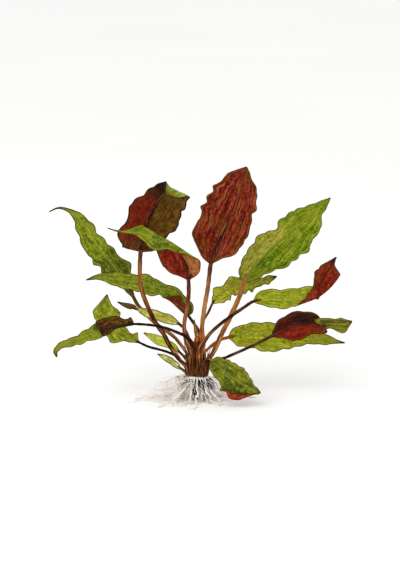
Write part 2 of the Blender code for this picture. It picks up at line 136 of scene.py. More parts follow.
LEAVES = (
    LeafShape(
        "leaf_far_left", foot=(152.0, 31.0), stalk_radius=(1.2, 1.3), waves=(4, 1.3, 0.0),
        stalk=((-11.5, 39, 6), (-16.5, 45, 9), (-23.5, 50.5, 12), (-34, 58, 16), (-39, 63.5, 18), (-45, 70, 20)),
        blade=ribs(
            (-48.6, 76.5, 21.2, 1.5, 1.5, 5), (-50.6, 80.5, 22.2, 3.4, 2.4, 5), (-54, 87, 24, 6, 4.8, 5),
            (-60, 95, 26, 9.6, 8, 5), (-66.5, 103, 27, 10, 8.8), (-73, 111, 27, 9.6, 8.4), (-79, 119.5, 26, 8.2, 6.6),
            (-85.5, 130, 24, 6.6, 5.4), (-90.5, 136.5, 21, 3.8, 3.2, -5), (-97, 141, 18, 1.4, 1.4, -10),
            (-104, 143, 15, 0.9, 0.9, -10), (-111.5, 140, 12, 0.4, 0.4, -10),
        ),
    ),
    LeafShape(
        "leaf_top_left", foot=(212.0, 25.0), stalk_radius=(1.6, 1.5), waves=(3, 1.2, 1.0),
        stalk=(
            (-12.8, 28.5, -7), (-17, 34.5, -9), (-21.5, 41.5, -11.5), (-25, 48.5, -13.5), (-29.5, 54.5, -15),
            (-36.5, 68.5, -18), (-41.8, 84, -21), (-42.4, 98, -24),
        ),
        blade=ribs(
            (-41.6, 111, -26, 1.7, 1.7), (-41.5, 111.8, -26.2, 8.5, 12.5), (-41.3, 114, -26.6, 11, 15.5),
            (-40.6, 118.5, -27.5, 14.5, 17.4), (-38.3, 128, -28.5, 18.8, 14.5), (-32.3, 140, -32, 20.5, 14.2),
            (-27.8, 148, -35, 19.2, 9.8), (-23, 154, -38.5, 17.5, 7.2), (-20, 157, -43, 16.5, 5.6),
            (-20.8, 155, -48, 13, 4), (-23.5, 151, -49.5, 2, 1.5), rest=(180,),
        ),
    ),
    LeafShape(
        "leaf_folded_left", foot=(222.0, 35.0), stalk_radius=(1.5, 1.35), waves=(3, 1.0, 0.6),
        stalk=((-8.6, 45, -7), (-9.6, 54, -10), (-8, 65, -13), (-6.3, 76, -16)),
        blade=ribs(
            (-6.4, 89.2, -20.0, 1.4, 1.4), (-6.7, 93.2, -22.0, 8.4, 9.7), (-7.6, 97.1, -23.9, 10.8, 13.4),
            (-9.2, 101.6, -26.2, 10.2, 15.6), (-11.6, 105.8, -28.3, 8.6, 15.7), (-14.6, 109.5, -30.1, 8.5, 14.6),
            (-17.4, 113.4, -32.1, 8.2, 13.8), (-19.6, 117.7, -34.2, 7.1, 13.4), (-22.1, 122.7, -36.8, 6.2, 12.4),
            (-25.5, 126.8, -38.8, 6.4, 11), (-30.6, 129.1, -39.9, 5.8, 9.5), (-35, 132.6, -41.7, 3.6, 7.5),
            (-39.2, 137.4, -44.1, 1.8, 3.4), (-43.3, 142.4, -46.6, 1.4, 1.2), (-47.3, 147.3, -49.1, 0.6, 0.6),
            (-52.3, 151.3, -51.1, 0.35, 0.35), rest=(180, 6, 6),
        ),
    ),
    LeafShape(
        "leaf_middle_left", foot=(98.0, 41.0), stalk_radius=(1.1, 1.0), waves=(4, 1.0, 0.4),
        stalk=((1.8, 46.5, 5.5), (0.5, 51.5, 6), (-3.5, 57.5, 6.5)),
        blade=ribs(
            (-7.3, 63.8, 6, 9, 1.1, 0, 3, 6), (-7.5, 66, 6, 14, 4.2, 0, 3, 6), (-7.8, 68.8, 5.9, 15.5, 5, 0, 3, 6),
            (-9, 71.7, 5.8, 17.2, 4, 0, 3, 6), (-11.2, 75, 5.7, 17.2, 2.6, 0, 3, 6),
            (-14.1, 77.7, 5.6, 17.3, 3.3, 0, 3, 6), (-17.6, 79.6, 5.5, 15.5, 3.7, 0, 3, 6),
            (-21.3, 80.9, 5.4, 10.5, 4, 0, 3, 6), (-25.2, 81.9, 5.3, 6, 3.9, 0, 6, 6),
            (-32.9, 83.8, 5.1, 7.3, 6.2, 0, 10, 10), (-38, 85.6, 6, 7.4, 6.8), (-49.5, 87.8, 7.5, 5.2, 5.4),
            (-63.8, 90, 8, 4.2, 4.4), (-74.3, 90.5, 6, 1.8, 2.6), (-83.3, 88.5, 3, 0.4, 0.4),
        ),
    ),
    LeafShape(
        "leaf_top_red", foot=(14.0, 43.0), stalk_radius=(1.6, 1.5), waves=(4, 1.6, 0.2),
        stalk=((3.9, 52, -2.5), (4.8, 62.5, -5), (6.2, 72, -8), (8, 82, -11), (9.2, 92, -14)),
        blade=ribs(
            (10.3, 100.5, -17, 1.6, 1.6), (11.2, 104, -18, 7.5, 9), (13.8, 110.5, -19.5, 14.5, 16),
            (17.4, 121, -22, 18.8, 20.4), (22.6, 132.5, -25, 18, 18.2), (28, 146, -29, 17, 15.6),
            (32.5, 159, -33, 12.5, 12), (35.2, 167, -37, 6, 7), (36.6, 172, -40, 0.4, 0.4), rest=(180,),
        ),
    ),
    LeafShape(
        "leaf_narrow_left", foot=(168.0, 39.0), stalk_radius=(1.0, 0.9), waves=(2, 0.5, 0.4),
        stalk=((-7, 47.5, 2.5), (-10, 52.5, 2)),
        blade=ribs(
            (-12.8, 55, 2, 0.9, 0.9), (-19.5, 58.1, 2, 3.2, 3.3), (-27.8, 61.5, 2, 3.2, 2.8),
            (-36.8, 64.5, 1.5, 2.6, 2.4, 5), (-43, 66.2, 1, 1.6, 1.5, 40), (-47.5, 67.3, 0, 2, 1.8, 140),
            (-53, 69.3, -1, 1.7, 1.7, 180), (-59.7, 72, -2, 0.35, 0.35, 180),
        ),
    ),
    LeafShape(
        "leaf_small_left", foot=(186.0, 28.0), stalk_radius=(1.0, 0.9), waves=(2, 0.4, 0.0),
        stalk=((-11, 32.5, 0.5),),
        blade=ribs(
            (-13, 34.3, 0.5, 0.9, 0.9), (-16, 36.8, 0.5, 1.9, 2.4), (-21.8, 40.5, 0, 2.6, 3),
            (-29.3, 43.3, -0.5, 3.3, 3), (-35.3, 46.2, -1, 1.8, 1.8), (-40, 48.8, -1, 0.35, 0.35),
        ),
    ),
    LeafShape(
        "leaf_lowest_left", foot=(200.0, 20.0), stalk_radius=(0.9, 0.85), waves=(1, 0.3, 0.0),
        stalk=((-11, 21.5, -3.8),),
        blade=ribs(
            (-12.4, 22.3, -4.2, 0.85, 0.85), (-14.4, 23.8, -4.8, 1.9, 2), (-18.8, 27.3, -5.6, 2.3, 2.5),
            (-24, 30.6, -6.8, 2.1, 2.2), (-29.6, 33.3, -7.6, 0.35, 0.35),
        ),
    ),
    LeafShape(
        "leaf_arched_left", foot=(262.0, 38.0), stalk_radius=(1.1, 0.85), waves=(3, 0.8, 0.0),
        stalk=((-7.5, 45.8, -12), (-15, 49.5, -15), (-22.5, 52.5, -18), (-30, 54.3, -20), (-40, 55.5, -21.5)),
        blade=ribs(
            (-48, 55.7, -22.5, 0.9, 0.9, 180), (-49.3, 55.6, -22.6, 4.2, 1.2, 180), (-52, 55.2, -22.7, 4.4, 1.3, 180),
            (-57.8, 54.2, -23.2, 7.4, 1.4, 180), (-62.3, 53.3, -23.5, 8.6, 2.2, 180), (-66, 52.2, -24, 8.2, 4.2, 180),
            (-69.8, 51.4, -24.2, 7, 5.6, 172, 6, 6), (-73, 50.7, -24.5, 6.4, 6.2, 90, 0, 0),
            (-76, 49.8, -24.7, 5.6, 5.4, 8, 6, 6), (-79.5, 48.4, -25, 5, 4.8), (-87.8, 45.4, -26, 4.3, 3.4),
            (-96.8, 42, -27, 3.2, 2.4), (-102.6, 39, -28, 2.2, 2), (-105, 35.3, -29, 2, 1.6),
            (-103.8, 31.3, -29.5, 0.5, 0.5),
        ),
    ),
    LeafShape(
        "leaf_diamond_left", foot=(164.0, 22.5), stalk_radius=(1.0, 0.8), waves=(3, 0.9, 0.5),
        stalk=((-11, 26.6, 1.5), (-15, 31, 2), (-21.5, 34.2, 2.5), (-28, 36.2, 3), (-36.3, 38.4, 3)),
        blade=ribs(
            (-43.3, 41.6, 3, 0.9, 0.9), (-47, 43.6, 3, 2.4, 3), (-51, 46, 3, 4.5, 3.8), (-57.8, 50.5, 2.5, 9, 5.2),
            (-64, 56.5, 2, 8.5, 8.2), (-67.5, 63, 1, 9.5, 8.8), (-68.3, 70.2, 0, 5.2, 4.2),
            (-67.4, 77.8, -1, 0.4, 0.4),
        ),
    ),
    LeafShape(
        "leaf_big_right", foot=(357.0, 29.0), stalk_radius=(1.8, 1.7), waves=(5, 1.7, 0.0),
        stalk=((11.8, 33.5, 0), (16.1, 42.4, 2), (18.8, 48.4, 4), (26.6, 64, 9), (33, 78.8, 13)),
        blade=ribs(
            (35.6, 87, 15, 1.7, 1.7), (37.6, 91, 16, 6.5, 5.8), (40.8, 95.5, 17.5, 9.4, 8),
            (46, 101.5, 19.5, 12, 11.5), (55, 111, 23, 12.8, 16.8), (65.8, 121.4, 28, 11.2, 19.2),
            (78.4, 131.8, 34, 11, 16.2), (91.2, 142.4, 40, 5.2, 8.2), (101.8, 151.4, 44, 0.4, 0.4),
        ),
    ),
    LeafShape(
        "leaf_behind_right", foot=(56.0, 42.0), stalk_radius=(0.95, 0.8), waves=(3, 1.4, 0.3),
        stalk=((4.4, 57.5, 10), (8.5, 64, 15)),
        blade=ribs(
            (11.8, 71, 20, 0.9, 0.9), (14, 74.5, 22, 4.8, 4.6), (18.8, 78.6, 25, 6.8, 6.4), (27.8, 84, 30, 6.6, 6.6),
            (38.3, 86.3, 34, 4.6, 8), (48.8, 87.8, 36, 2.2, 2.6), (55, 89.6, 36, 2.6, 3.2),
            (60.8, 91.3, 35, 0.5, 0.5),
        ),
    ),
    LeafShape(
        "leaf_turned_right", foot=(300.0, 39.0), stalk_radius=(1.2, 1.1), waves=(3, 0.9, 0.2),
        stalk=((9.5, 48.2, -10), (16.5, 54.8, -11), (26, 61.9, -13), (34.5, 67.7, -14)),
        blade=ribs(
            (42.3, 72.6, -15, 1.1, 1.1, 0.0, 14.0, 14.0), (45, 73.3, -15.2, 4.5, 2.9, 0.0, 14.0, 14.0),
            (49.5, 74, -15.6, 7, 4.6, 0, 10, 10), (56.7, 74.6, -16.1, 7, 6.8, 0, 8, 8), (64.9, 75.1, -16.8, 6.2, 7.6),
            (73.2, 75.4, -17.4, 7.1, 6.6), (81.4, 75.5, -18, 7.9, 7.5), (87.7, 75.2, -18.5, 9, 8),
            (93, 74, -18.9, 11.9, 7.3), (98.4, 73, -19.3, 13.8, 5.6), (103.5, 74.2, -19.8, 13.4, 7),
            (108.3, 77, -20.2, 12.4, 7.6), (112.2, 80.6, -20.6, 12.9, 6.6), (115.1, 85.2, -21, 12.6, 6),
            (116.6, 87.8, -21.2, 8.6, 5.2), (117.8, 90.2, -21.4, 3.6, 4.2), (119.5, 94.2, -21.8, 1, 1.8),
            (120.5, 96.8, -22, 0.35, 0.35), rest=(0, 6, 6),
        ),
    ),
    LeafShape(
        "leaf_low_right", foot=(18.0, 35.0), stalk_radius=(1.2, 1.1), waves=(4, 1.2, 0.0),
        stalk=((12.8, 40.5, 6), (17.9, 43.6, 9)),
        blade=ribs(
            (23.8, 45.3, 11, 1.1, 1.1), (27, 46, 12, 6, 5.2), (32.3, 46.5, 13.5, 7.6, 7.4),
            (43.5, 46.9, 16, 9.6, 10.4), (56.3, 46.1, 19, 10.4, 11.2), (69.8, 45.4, 21, 9, 8.2),
            (83.3, 44.6, 22, 6.6, 5), (96, 43.5, 22, 3.4, 2.8), (105, 42, 21, 1.1, 1.1), (111.8, 41, 20, 0.35, 0.35),
        ),
    ),
    LeafShape(
        "leaf_red_right", foot=(336.0, 25.0), stalk_radius=(1.0, 0.95), waves=(3, 0.9, 0.6),
        stalk=((13, 28.5, -7), (20, 30, -10), (25, 32.2, -12), (37, 37.5, -15), (46.5, 42, -17)),
        blade=ribs(
            (55.6, 46.8, -18.5, 1.1, 1.1), (59.3, 48.8, -19, 4, 4.6), (68.3, 53, -20, 11, 9.2),
            (77.6, 55, -21, 10.2, 10.2), (84, 55.5, -21.5, 8.2, 8.8, -184), (88.5, 55.6, -22, 6.6, 7, -200, 6, 6),
            (92.3, 55.8, -22.3, 5.6, 6, -270, 0, 0), (96, 56, -22.6, 4.4, 4.6, -335, 6, 6),
            (99, 56, -22.8, 3.8, 3.8, -352), (105.8, 55.6, -23, 4.8, 5.8, -360), (108.4, 55.6, -23.2, 4.8, 7, -360),
            (111.8, 56.4, -23.5, 3.2, 3.2, -360), (115.2, 57.8, -24, 0.5, 0.5, -360), rest=(-180,),
        ),
    ),
    LeafShape(
        "leaf_front_right", foot=(308.0, 27.0), stalk_radius=(1.3, 1.2), waves=(3, 1.0, 0.0),
        stalk=((9, 28.8, -11),),
        blade=ribs(
            (10.2, 28.4, -13, 1.3, 1.3), (12.8, 26.4, -16, 5.5, 5), (17.3, 23, -20, 7.5, 7.5),
            (24, 18, -25, 9.4, 9.6), (31.5, 12.6, -30, 9.6, 16.5, 0, 10, 5, 0, 140),
            (38, 8.8, -33, 6.6, 15.5, 0, 10, 0, 0, 165), (43, 6.6, -35, 3.6, 6, 0, 10, 0, 0, 130),
            (47, 5, -36, 0.4, 0.4),
        ),
    ),
)


def linear(colour: str) -> tuple[float, float, float, float]:
    """Turns an sRGB hex colour into linear RGB with alpha.

    Args:
        colour: Colour such as "#7a8c12".

    Returns:
        Red, green, blue and alpha, linear.
    """
    parts = [int(colour[i : i + 2], 16) / 255.0 for i in (1, 3, 5)]
    red, green, blue = (part / 12.92 if part <= 0.04045 else ((part + 0.055) / 1.055) ** 2.4 for part in parts)
    return red, green, blue, 1.0


def outlet(node: Node) -> NodeSocket:
    """First output of a node that is in use."""
    return next(socket for socket in node.outputs if socket.enabled)


def add(tree: NodeTree, kind: str, feeds: dict | tuple = (), **settings: object) -> Node:
    """Adds a node with its settings, values and links.

    Args:
        tree: Node tree of the material.
        kind: Blender's name of the node type, without its start, and after a space its operation.
        feeds: What each input takes, by name or in order: a value, a socket, or a node whose output is meant.
        settings: Properties of the node.

    Returns:
        The new node.
    """
    kind, *operation = kind.split()
    node = tree.nodes.new("ShaderNode" + kind)
    settings.update(zip(("operation",), operation))
    for name, value in settings.items():
        setattr(node, name, value)
    for name, source in feeds.items() if isinstance(feeds, dict) else enumerate(feeds):
        if isinstance(source, Node):
            source = outlet(source)
        if isinstance(source, NodeSocket):
            tree.links.new(source, node.inputs[name])
        else:
            node.inputs[name].default_value = source
    return node


def ramp(tree: NodeTree, source: Node, stops: tuple[tuple[float, str], ...]) -> Node:
    """Adds a colour ramp.

    Args:
        tree: Node tree of the material.
        source: Node whose first output is read.
        stops: Place from 0 to 1 and hex colour of each stop.

    Returns:
        The ramp node.
    """
    node = add(tree, "ValToRGB", {"Fac": source})
    points = node.color_ramp.elements
    while len(points) < len(stops):
        points.new(1.0)
    for point, (place, colour) in zip(points, stops):
        point.position = place
        point.color = linear(colour)
    return node


def fading(tree: NodeTree, source: object, full: float, none: float, weight: float = 1.0) -> Node:
    """Weight that fades smoothly from full strength at one value to nothing at another.

    Args:
        tree: Node tree of the material.
        source: Node or socket that gives the value.
        full: Value with the whole weight.
        none: Value with no weight.
        weight: Weight at full strength.

    Returns:
        The node that gives the weight.
    """
    ends = {"Value": source, "From Min": full, "From Max": none, "To Min": weight, "To Max": 0.0}
    return add(tree, "MapRange", ends, interpolation_type="SMOOTHSTEP")


def over(tree: NodeTree, under: Node, weight: Node, colour: str) -> Node:
    """Lays a hex colour over another, as strongly as the weight says, and gives the mix node."""
    return add(tree, "Mix", {0: weight, 6: under, 7: linear(colour)}, data_type="RGBA")


def wear(tree: NodeTree, colour: Node, relief: Node, *size: float) -> None:
    """Gives a material its colour and its relief.

    Args:
        tree: Node tree of the material.
        colour: Node that gives the colour.
        relief: Node that gives the height.
        size: Depth of the relief in mm, and its strength.
    """
    deep, strength = size
    shader = tree.nodes["Principled BSDF"]
    tree.links.new(outlet(colour), shader.inputs["Base Color"])
    bump = add(tree, "Bump", {"Height": relief, "Distance": deep * MM, "Strength": strength})
    tree.links.new(bump.outputs["Normal"], shader.inputs["Normal"])


def whereabouts(tree: NodeTree) -> tuple[NodeSocket, ...]:
    """Sockets that give a point's place on its piece, its lay in mm, and its place in the plant's frame."""
    place, lay = (add(tree, "Attribute", attribute_name=name).outputs["Vector"] for name in (PLACE, LAY))
    return place, lay, add(tree, "TexCoord").outputs["Object"]


def blank_material(name: str, roughness: float, specular: float) -> tuple:
    """Starts a material with the gloss of wet plant skin.

    Args:
        name: Name of the material.
        roughness: Roughness where nothing is linked.
        specular: Specular level.

    Returns:
        The material, its node tree and its main shader.
    """
    material = bpy.data.materials.new(name)
    material.use_nodes = True
    tree = material.node_tree
    shader = tree.nodes["Principled BSDF"]
    shader.inputs["Roughness"].default_value = roughness
    shader.inputs["Specular IOR Level"].default_value = specular
    shader.inputs["IOR"].default_value = PLANT_IOR
    return material, tree, shader


@dataclass(frozen=True)
class Tint:
    """Other colours of a stretch of a blade, between two shares of its length, on one half or on both."""

    deep: str
    light: str
    half: Half | None = None
    start: float = -0.1
    end: float = 1.1


@dataclass(frozen=True)
class LeafFace:
    """Finish of one side of a blade: mottled tissue with long veins, slanting cross veins and a fine net, with
    painted highlights as pale dotted lines on the ridges between the long veins and pale strands along the blade.

    Sizes are in mm: blotches about 5 mm, streaks 1.6 mm by 6 mm, cells between the finest veins 1.6 mm, cross
    veins 3 mm apart, a dark outline 0.5 mm wide and a paler margin about 2 mm wide.
    """

    name: str
    deep: str
    body: str
    light: str
    vein: str
    vein_weight: float
    # Colour of the painted highlights, and how strongly they are painted
    pale: str
    pale_weight: float
    margin: str
    margin_weight: float
    tip: str
    tip_start: float = 0.9
    veins: float = 3.0
    streak: float = 0.45
    cross_weight: float = 0.3
    midrib: str = "#8f9440"
    midrib_weight: float = 0.6
    relief: float = 0.7
    outline: str = "#2a2408"
    outline_weight: float = 0.75
    outline_width: float = 0.0
    strands: float = 3.0
    stretch: float = 1.0
    patch: str = "#8f9018"
    patch_weight: float = 0.5
    tints: tuple[Tint, ...] = ()

    def toned(self, name: str, *tones: str, **other: object) -> "LeafFace":
        """This finish under another name, with up to three tones from deep to light and other fields changed."""
        return replace(self, name=name, **dict(zip(("deep", "body", "light"), tones)), **other)

    def dress(self) -> Material:
        """Builds the material.

        Returns:
            The material, which reads the blade's place and lay attributes.
        """
        material, tree, shader = blank_material(self.name, 0.5, 0.12)
        place, lay, body = whereabouts(tree)
        where = add(tree, "SeparateXYZ", {"Vector": place})
        spread = add(tree, "SeparateXYZ", {"Vector": lay})
        across, share, along = where.outputs["X"], where.outputs["Y"], spread.outputs["Y"]
        out = add(tree, "Math ABSOLUTE", (across,))
        reach = add(tree, "Math ABSOLUTE", (spread.outputs["X"],))
        inner = add(tree, "Math MAXIMUM", (out, 0.05))
        width = add(tree, "Math DIVIDE", (reach, inner))
        rim = add(tree, "Math SUBTRACT", (width, reach))

        blotch = add(tree, "TexNoise", {"Vector": body, "Scale": 230.0, "Detail": 4.0, "Distortion": 0.5})
        long_lay = add(tree, "Mapping", {"Vector": lay, "Scale": (0.7, 0.13 / self.stretch, 1.0)})
        shift = add(tree, "VectorMath ADD", (long_lay, body))
        streaks = add(tree, "TexNoise", {"Vector": shift, "Scale": 1.0, "Detail": 4.0, "Distortion": 0.25})
        grain = add(tree, "TexNoise", {"Vector": body, "Scale": 800.0, "Detail": 3.0, "Roughness": 0.6})
        web = {"Vector": body, "Scale": 620.0, "Randomness": 0.9}
        cells = add(tree, "TexVoronoi", web)
        cell = add(tree, "SeparateColor", {"Color": cells.outputs["Color"]})
        net = add(tree, "TexVoronoi", web, feature="DISTANCE_TO_EDGE")
        mesh = fading(tree, net, 0.0, 0.16)
        mottle = add(tree, "Mix", {0: self.streak, 2: blotch, 3: streaks}, data_type="FLOAT")
        mottle = add(tree, "Mix", {0: 0.3, 2: mottle, 3: grain}, data_type="FLOAT")
        mottle = add(tree, "Mix", {0: 0.1, 2: mottle, 3: cell}, data_type="FLOAT")

        sway = add(tree, "Math MULTIPLY_ADD", (blotch, 0.5, -0.25))
        sway = add(tree, "Math MULTIPLY_ADD", (streaks, 0.5, sway))
        ribs = add(tree, "Math MULTIPLY_ADD", (out, self.veins, sway))
        ribs = add(tree, "Math SUBTRACT", (ribs, 0.25))
        beat = add(tree, "Math PINGPONG", (ribs, 0.5))
        long_vein = fading(tree, beat, 0.0, 0.14)
        # Painted highlight: pale dotted lines on the ridges halfway between the long veins
        ridge_highlight = fading(tree, beat, 0.5, 0.34)
        slant = add(tree, "Math MULTIPLY_ADD", (reach, -0.9, along))
        slant = add(tree, "Math MULTIPLY_ADD", (slant, 0.33, sway))
        slant = add(tree, "Math PINGPONG", (slant, 0.5))
        cross = fading(tree, slant, 0.0, 0.12, self.cross_weight)
        gaps = fading(tree, streaks, 0.58, 0.42)
        lines = add(tree, "Math MAXIMUM", (long_vein, cross))
        broken = add(tree, "Math MULTIPLY", (lines, gaps))
        veins = add(tree, "Math MULTIPLY", (broken, self.vein_weight))
        packed = add(tree, "Math MULTIPLY", (ribs, self.strands))
        drawn = add(tree, "Math MULTIPLY", (along, 0.15 / self.stretch))
        strand_lay = add(tree, "CombineXYZ", {"X": packed, "Y": drawn, "Z": across})
        strands = add(tree, "TexNoise", {"Vector": strand_lay, "Scale": 1.0, "Detail": 3.0, "Distortion": 0.12})
        dark_lines = fading(tree, strands, 0.33, 0.45, 0.8 * self.vein_weight)
        veins = add(tree, "Math MAXIMUM", (veins, dark_lines))
        # Painted highlight: pale strands along the blade
        highlight_strands = fading(tree, strands, 0.66, 0.54, self.pale_weight)
        dotted = fading(tree, grain, 0.6, 0.44, 0.7)
        pale = add(tree, "Math MULTIPLY", (ridge_highlight, dotted))
        pale = add(tree, "Math MULTIPLY", (pale, self.pale_weight))
        pale = add(tree, "Math MAXIMUM", (pale, highlight_strands))

        tissue = ramp(tree, mottle, ((0.41, self.deep), (0.5, self.body), (0.59, self.light)))
        wide = add(tree, "TexNoise", {"Vector": body, "Scale": 95.0, "Detail": 3.0, "Distortion": 0.5})
        tissue = over(tree, tissue, fading(tree, wide, 0.62, 0.5, self.patch_weight), self.patch)
        for tint in self.tints:
            tissue = self.tinted(tree, tint, tissue, mottle, across, share)
        colour = over(tree, tissue, veins, self.vein)
        # Lays the painted highlights over the tissue
        colour = over(tree, colour, pale, self.pale)
        fine = add(tree, "Math MULTIPLY", (mesh, 0.2))
        colour = over(tree, colour, fine, self.vein)
        colour = over(tree, colour, fading(tree, reach, 0.25, 0.8, self.midrib_weight), self.midrib)
        uneven = add(tree, "Math MULTIPLY_ADD", (mottle, 5.0, rim))
        colour = over(tree, colour, fading(tree, uneven, 2.9, 4.3, self.margin_weight), self.margin)
        colour = over(tree, colour, fading(tree, share, self.tip_start + 0.09, self.tip_start), self.tip)
        thin = add(tree, "Math MULTIPLY_ADD", (grain, 1.0, rim))
        edges = (0.95 + self.outline_width, 1.5 + self.outline_width)
        colour = over(tree, colour, fading(tree, thin, *edges, self.outline_weight), self.outline)

        rough = add(tree, "MapRange", {"Value": mottle, "To Min": 0.42, "To Max": 0.66})
        tree.links.new(outlet(rough), shader.inputs["Roughness"])
        height = add(tree, "Math MULTIPLY_ADD", (lines, -0.6, blotch))
        height = add(tree, "Math MULTIPLY_ADD", (mesh, -0.3, height))
        wear(tree, colour, height, 0.5, self.relief)
        return material

    @staticmethod
    def tinted(
        tree: NodeTree, tint: Tint, tissue: Node, mottle: Node,
        across: NodeSocket, share: NodeSocket,
    ) -> Node:
        """Gives a stretch of the blade its other colours.

        Args:
            tree: Node tree of the material.
            tint: The stretch and its colours.
            tissue: Colour of the whole side.
            mottle: Pattern that picks between deep and light.
            across: Place across the blade, from -1 to 1.
            share: Place along the blade, from 0 to 1.

        Returns:
            The node that gives the new colour.
        """
        other = ramp(tree, mottle, ((0.42, tint.deep), (0.58, tint.light)))
        edge = add(tree, "Math MULTIPLY_ADD", (mottle, 0.3, share))
        edge = add(tree, "Math SUBTRACT", (edge, 0.15))
        rise = fading(tree, edge, tint.start + 0.08, tint.start)
        fall = fading(tree, edge, tint.end, tint.end + 0.08)
        weight = add(tree, "Math MULTIPLY", (rise, fall))
        if tint.half:
            side = fading(tree, across, 0.1 * tint.half.value, 0.0)
            weight = add(tree, "Math MULTIPLY", (side, weight))
        return add(tree, "Mix", {0: weight, 6: tissue, 7: other}, data_type="RGBA")


@dataclass(frozen=True)
class LeafRim:
    """Finish of a blade's thin cut-like edge, darker than either side."""

    name: str = "leaf edge"
    dark: str = "#241c08"
    light: str = "#4a3c14"

    def dress(self) -> Material:
        """Builds the material, dark with paler stretches about 3 mm long."""
        material, tree, shader = blank_material(self.name, 0.6, 0.3)
        body = add(tree, "TexCoord").outputs["Object"]
        patches = add(tree, "TexNoise", {"Vector": body, "Scale": 330.0, "Detail": 2.0})
        colour = ramp(tree, patches, ((0.4, self.dark), (0.65, self.light)))
        tree.links.new(outlet(colour), shader.inputs["Base Color"])
        return material


@dataclass(frozen=True)
class StalkFinish:
    """Finish of a leaf stalk: fibrous, with its colour changing along its length and darker near the crown.

    Stops are shares of the stalk's length from the foot, 1 at the blade's base and 2 at the tip of the midrib.
    Streaks are about 0.5 mm wide and 12 mm long, and near the crown there are light and dark strands 1 mm wide, which
    are painted highlights and painted shade on the crowded stalk bases.
    """

    name: str
    stops: tuple[tuple[float, str], ...]
    streak: str = "#2a0f08"
    streak_weight: float = 0.6
    glow: str = "#cc8638"
    glow_weight: float = 0.42
    # The next two tones: the dark one low on the stalk, also used for the painted shade strands near the crown, and
    # the one of the painted highlight strands there
    foot: str = "#2a0502"
    crown_highlight: str = "#d08a46"
    hem: str = "#b07a4e"

    def dress(self) -> Material:
        """Builds the material.

        Returns:
            The material, which reads the stalk's place and lay attributes.
        """
        material, tree, _ = blank_material(self.name, 0.55, 0.12)
        place, lay, body = whereabouts(tree)
        share = add(tree, "SeparateXYZ", {"Vector": place}).outputs["Z"]
        blotch = add(tree, "TexNoise", {"Vector": body, "Scale": 260.0, "Detail": 3.0})
        half = add(tree, "Math MULTIPLY_ADD", (share, 0.5, -0.04))
        shifted = add(tree, "Math MULTIPLY_ADD", (blotch, 0.08, half))
        colour = ramp(tree, shifted, tuple((stop / 2, tone) for stop, tone in self.stops))
        fibre_lay = add(tree, "Mapping", {"Vector": lay, "Scale": (1.5, 0.09, 1.5)})
        fibres = add(tree, "TexNoise", {"Vector": fibre_lay, "Scale": 1.0, "Detail": 3.0})
        colour = over(tree, colour, fading(tree, fibres, 0.36, 0.47, self.glow_weight), self.glow)
        colour = over(tree, colour, fading(tree, fibres, 0.6, 0.5, self.streak_weight), self.streak)
        height = add(tree, "SeparateXYZ", {"Vector": body}).outputs["Z"]
        wide_lay = add(tree, "Mapping", {"Vector": lay, "Scale": (0.85, 0.07, 0.85)})
        strands = add(tree, "TexNoise", {"Vector": wide_lay, "Scale": 1.0, "Detail": 1.0})
        # Near the crown, light strands are painted highlights and dark strands painted shade on the crowded stalk
        # bases
        crowded = fading(tree, height, 0.036, 0.058)
        for full, none, tone in ((0.4, 0.5, self.crown_highlight), (0.58, 0.5, self.foot)):
            lines = fading(tree, strands, full, none, 0.85)
            lines = add(tree, "Math MULTIPLY", (lines, crowded))
            colour = over(tree, colour, lines, tone)
        uneven = add(tree, "Math MULTIPLY_ADD", (fibres, 0.07, height))
        colour = over(tree, colour, fading(tree, uneven, 0.056, 0.072, 0.88), self.foot)
        uneven = add(tree, "Math MULTIPLY_ADD", (blotch, 0.006, height))
        colour = over(tree, colour, fading(tree, uneven, 0.0195, 0.0215, 0.6), self.hem)
        wear(tree, colour, fibres, 0.4, 0.7)
        return material


@dataclass(frozen=True)
class CrownFinish:
    """Finish of the rootstock and crown: dark and fibrous below, tan-brown above, with scars 2 mm or so apart, and
    nearly black at the foot, as painted shade inside the skirt of roots.
    """

    name: str = "rootstock skin"
    dark: str = "#120506"
    low: str = "#3a0e06"
    body: str = "#864012"
    tan: str = "#cc8244"
    # Nearly black tone at the foot: painted shade inside the skirt of roots
    foot: str = "#0c0404"
    hem: str = "#b08664"

    def dress(self) -> Material:
        """Builds the material."""
        material, tree, _ = blank_material(self.name, 0.75, 0.15)
        body = add(tree, "TexCoord").outputs["Object"]
        tall = add(tree, "Mapping", {"Vector": body, "Scale": (1500.0, 1500.0, 160.0)})
        fibres = add(tree, "TexNoise", {"Vector": tall, "Scale": 0.5, "Detail": 5.0, "Distortion": 0.3})
        flat = add(tree, "Mapping", {"Vector": body, "Scale": (120.0, 120.0, 620.0)})
        scars = add(tree, "TexNoise", {"Vector": flat, "Scale": 0.8, "Detail": 3.0})
        mixed = add(tree, "Mix", {0: 0.35, 2: fibres, 3: scars}, data_type="FLOAT")
        below = ramp(tree, mixed, ((0.42, self.dark), (0.62, self.low)))
        above = ramp(tree, mixed, ((0.4, self.low), (0.5, self.body), (0.62, self.tan)))
        height = add(tree, "SeparateXYZ", {"Vector": body}).outputs["Z"]
        lower = fading(tree, height, 0.021, 0.029)
        colour = add(tree, "Mix", {0: lower, 6: above, 7: below}, data_type="RGBA")
        uneven = add(tree, "Math MULTIPLY_ADD", (mixed, 0.008, height))
        colour = over(tree, colour, fading(tree, uneven, 0.0195, 0.0225, 0.75), self.hem)
        # Nearly black below about 14 mm: painted shade inside the skirt of roots
        colour = over(tree, colour, fading(tree, height, 0.0135, 0.0148, 0.95), self.foot)
        wear(tree, colour, mixed, 0.8, 0.8)
        return material


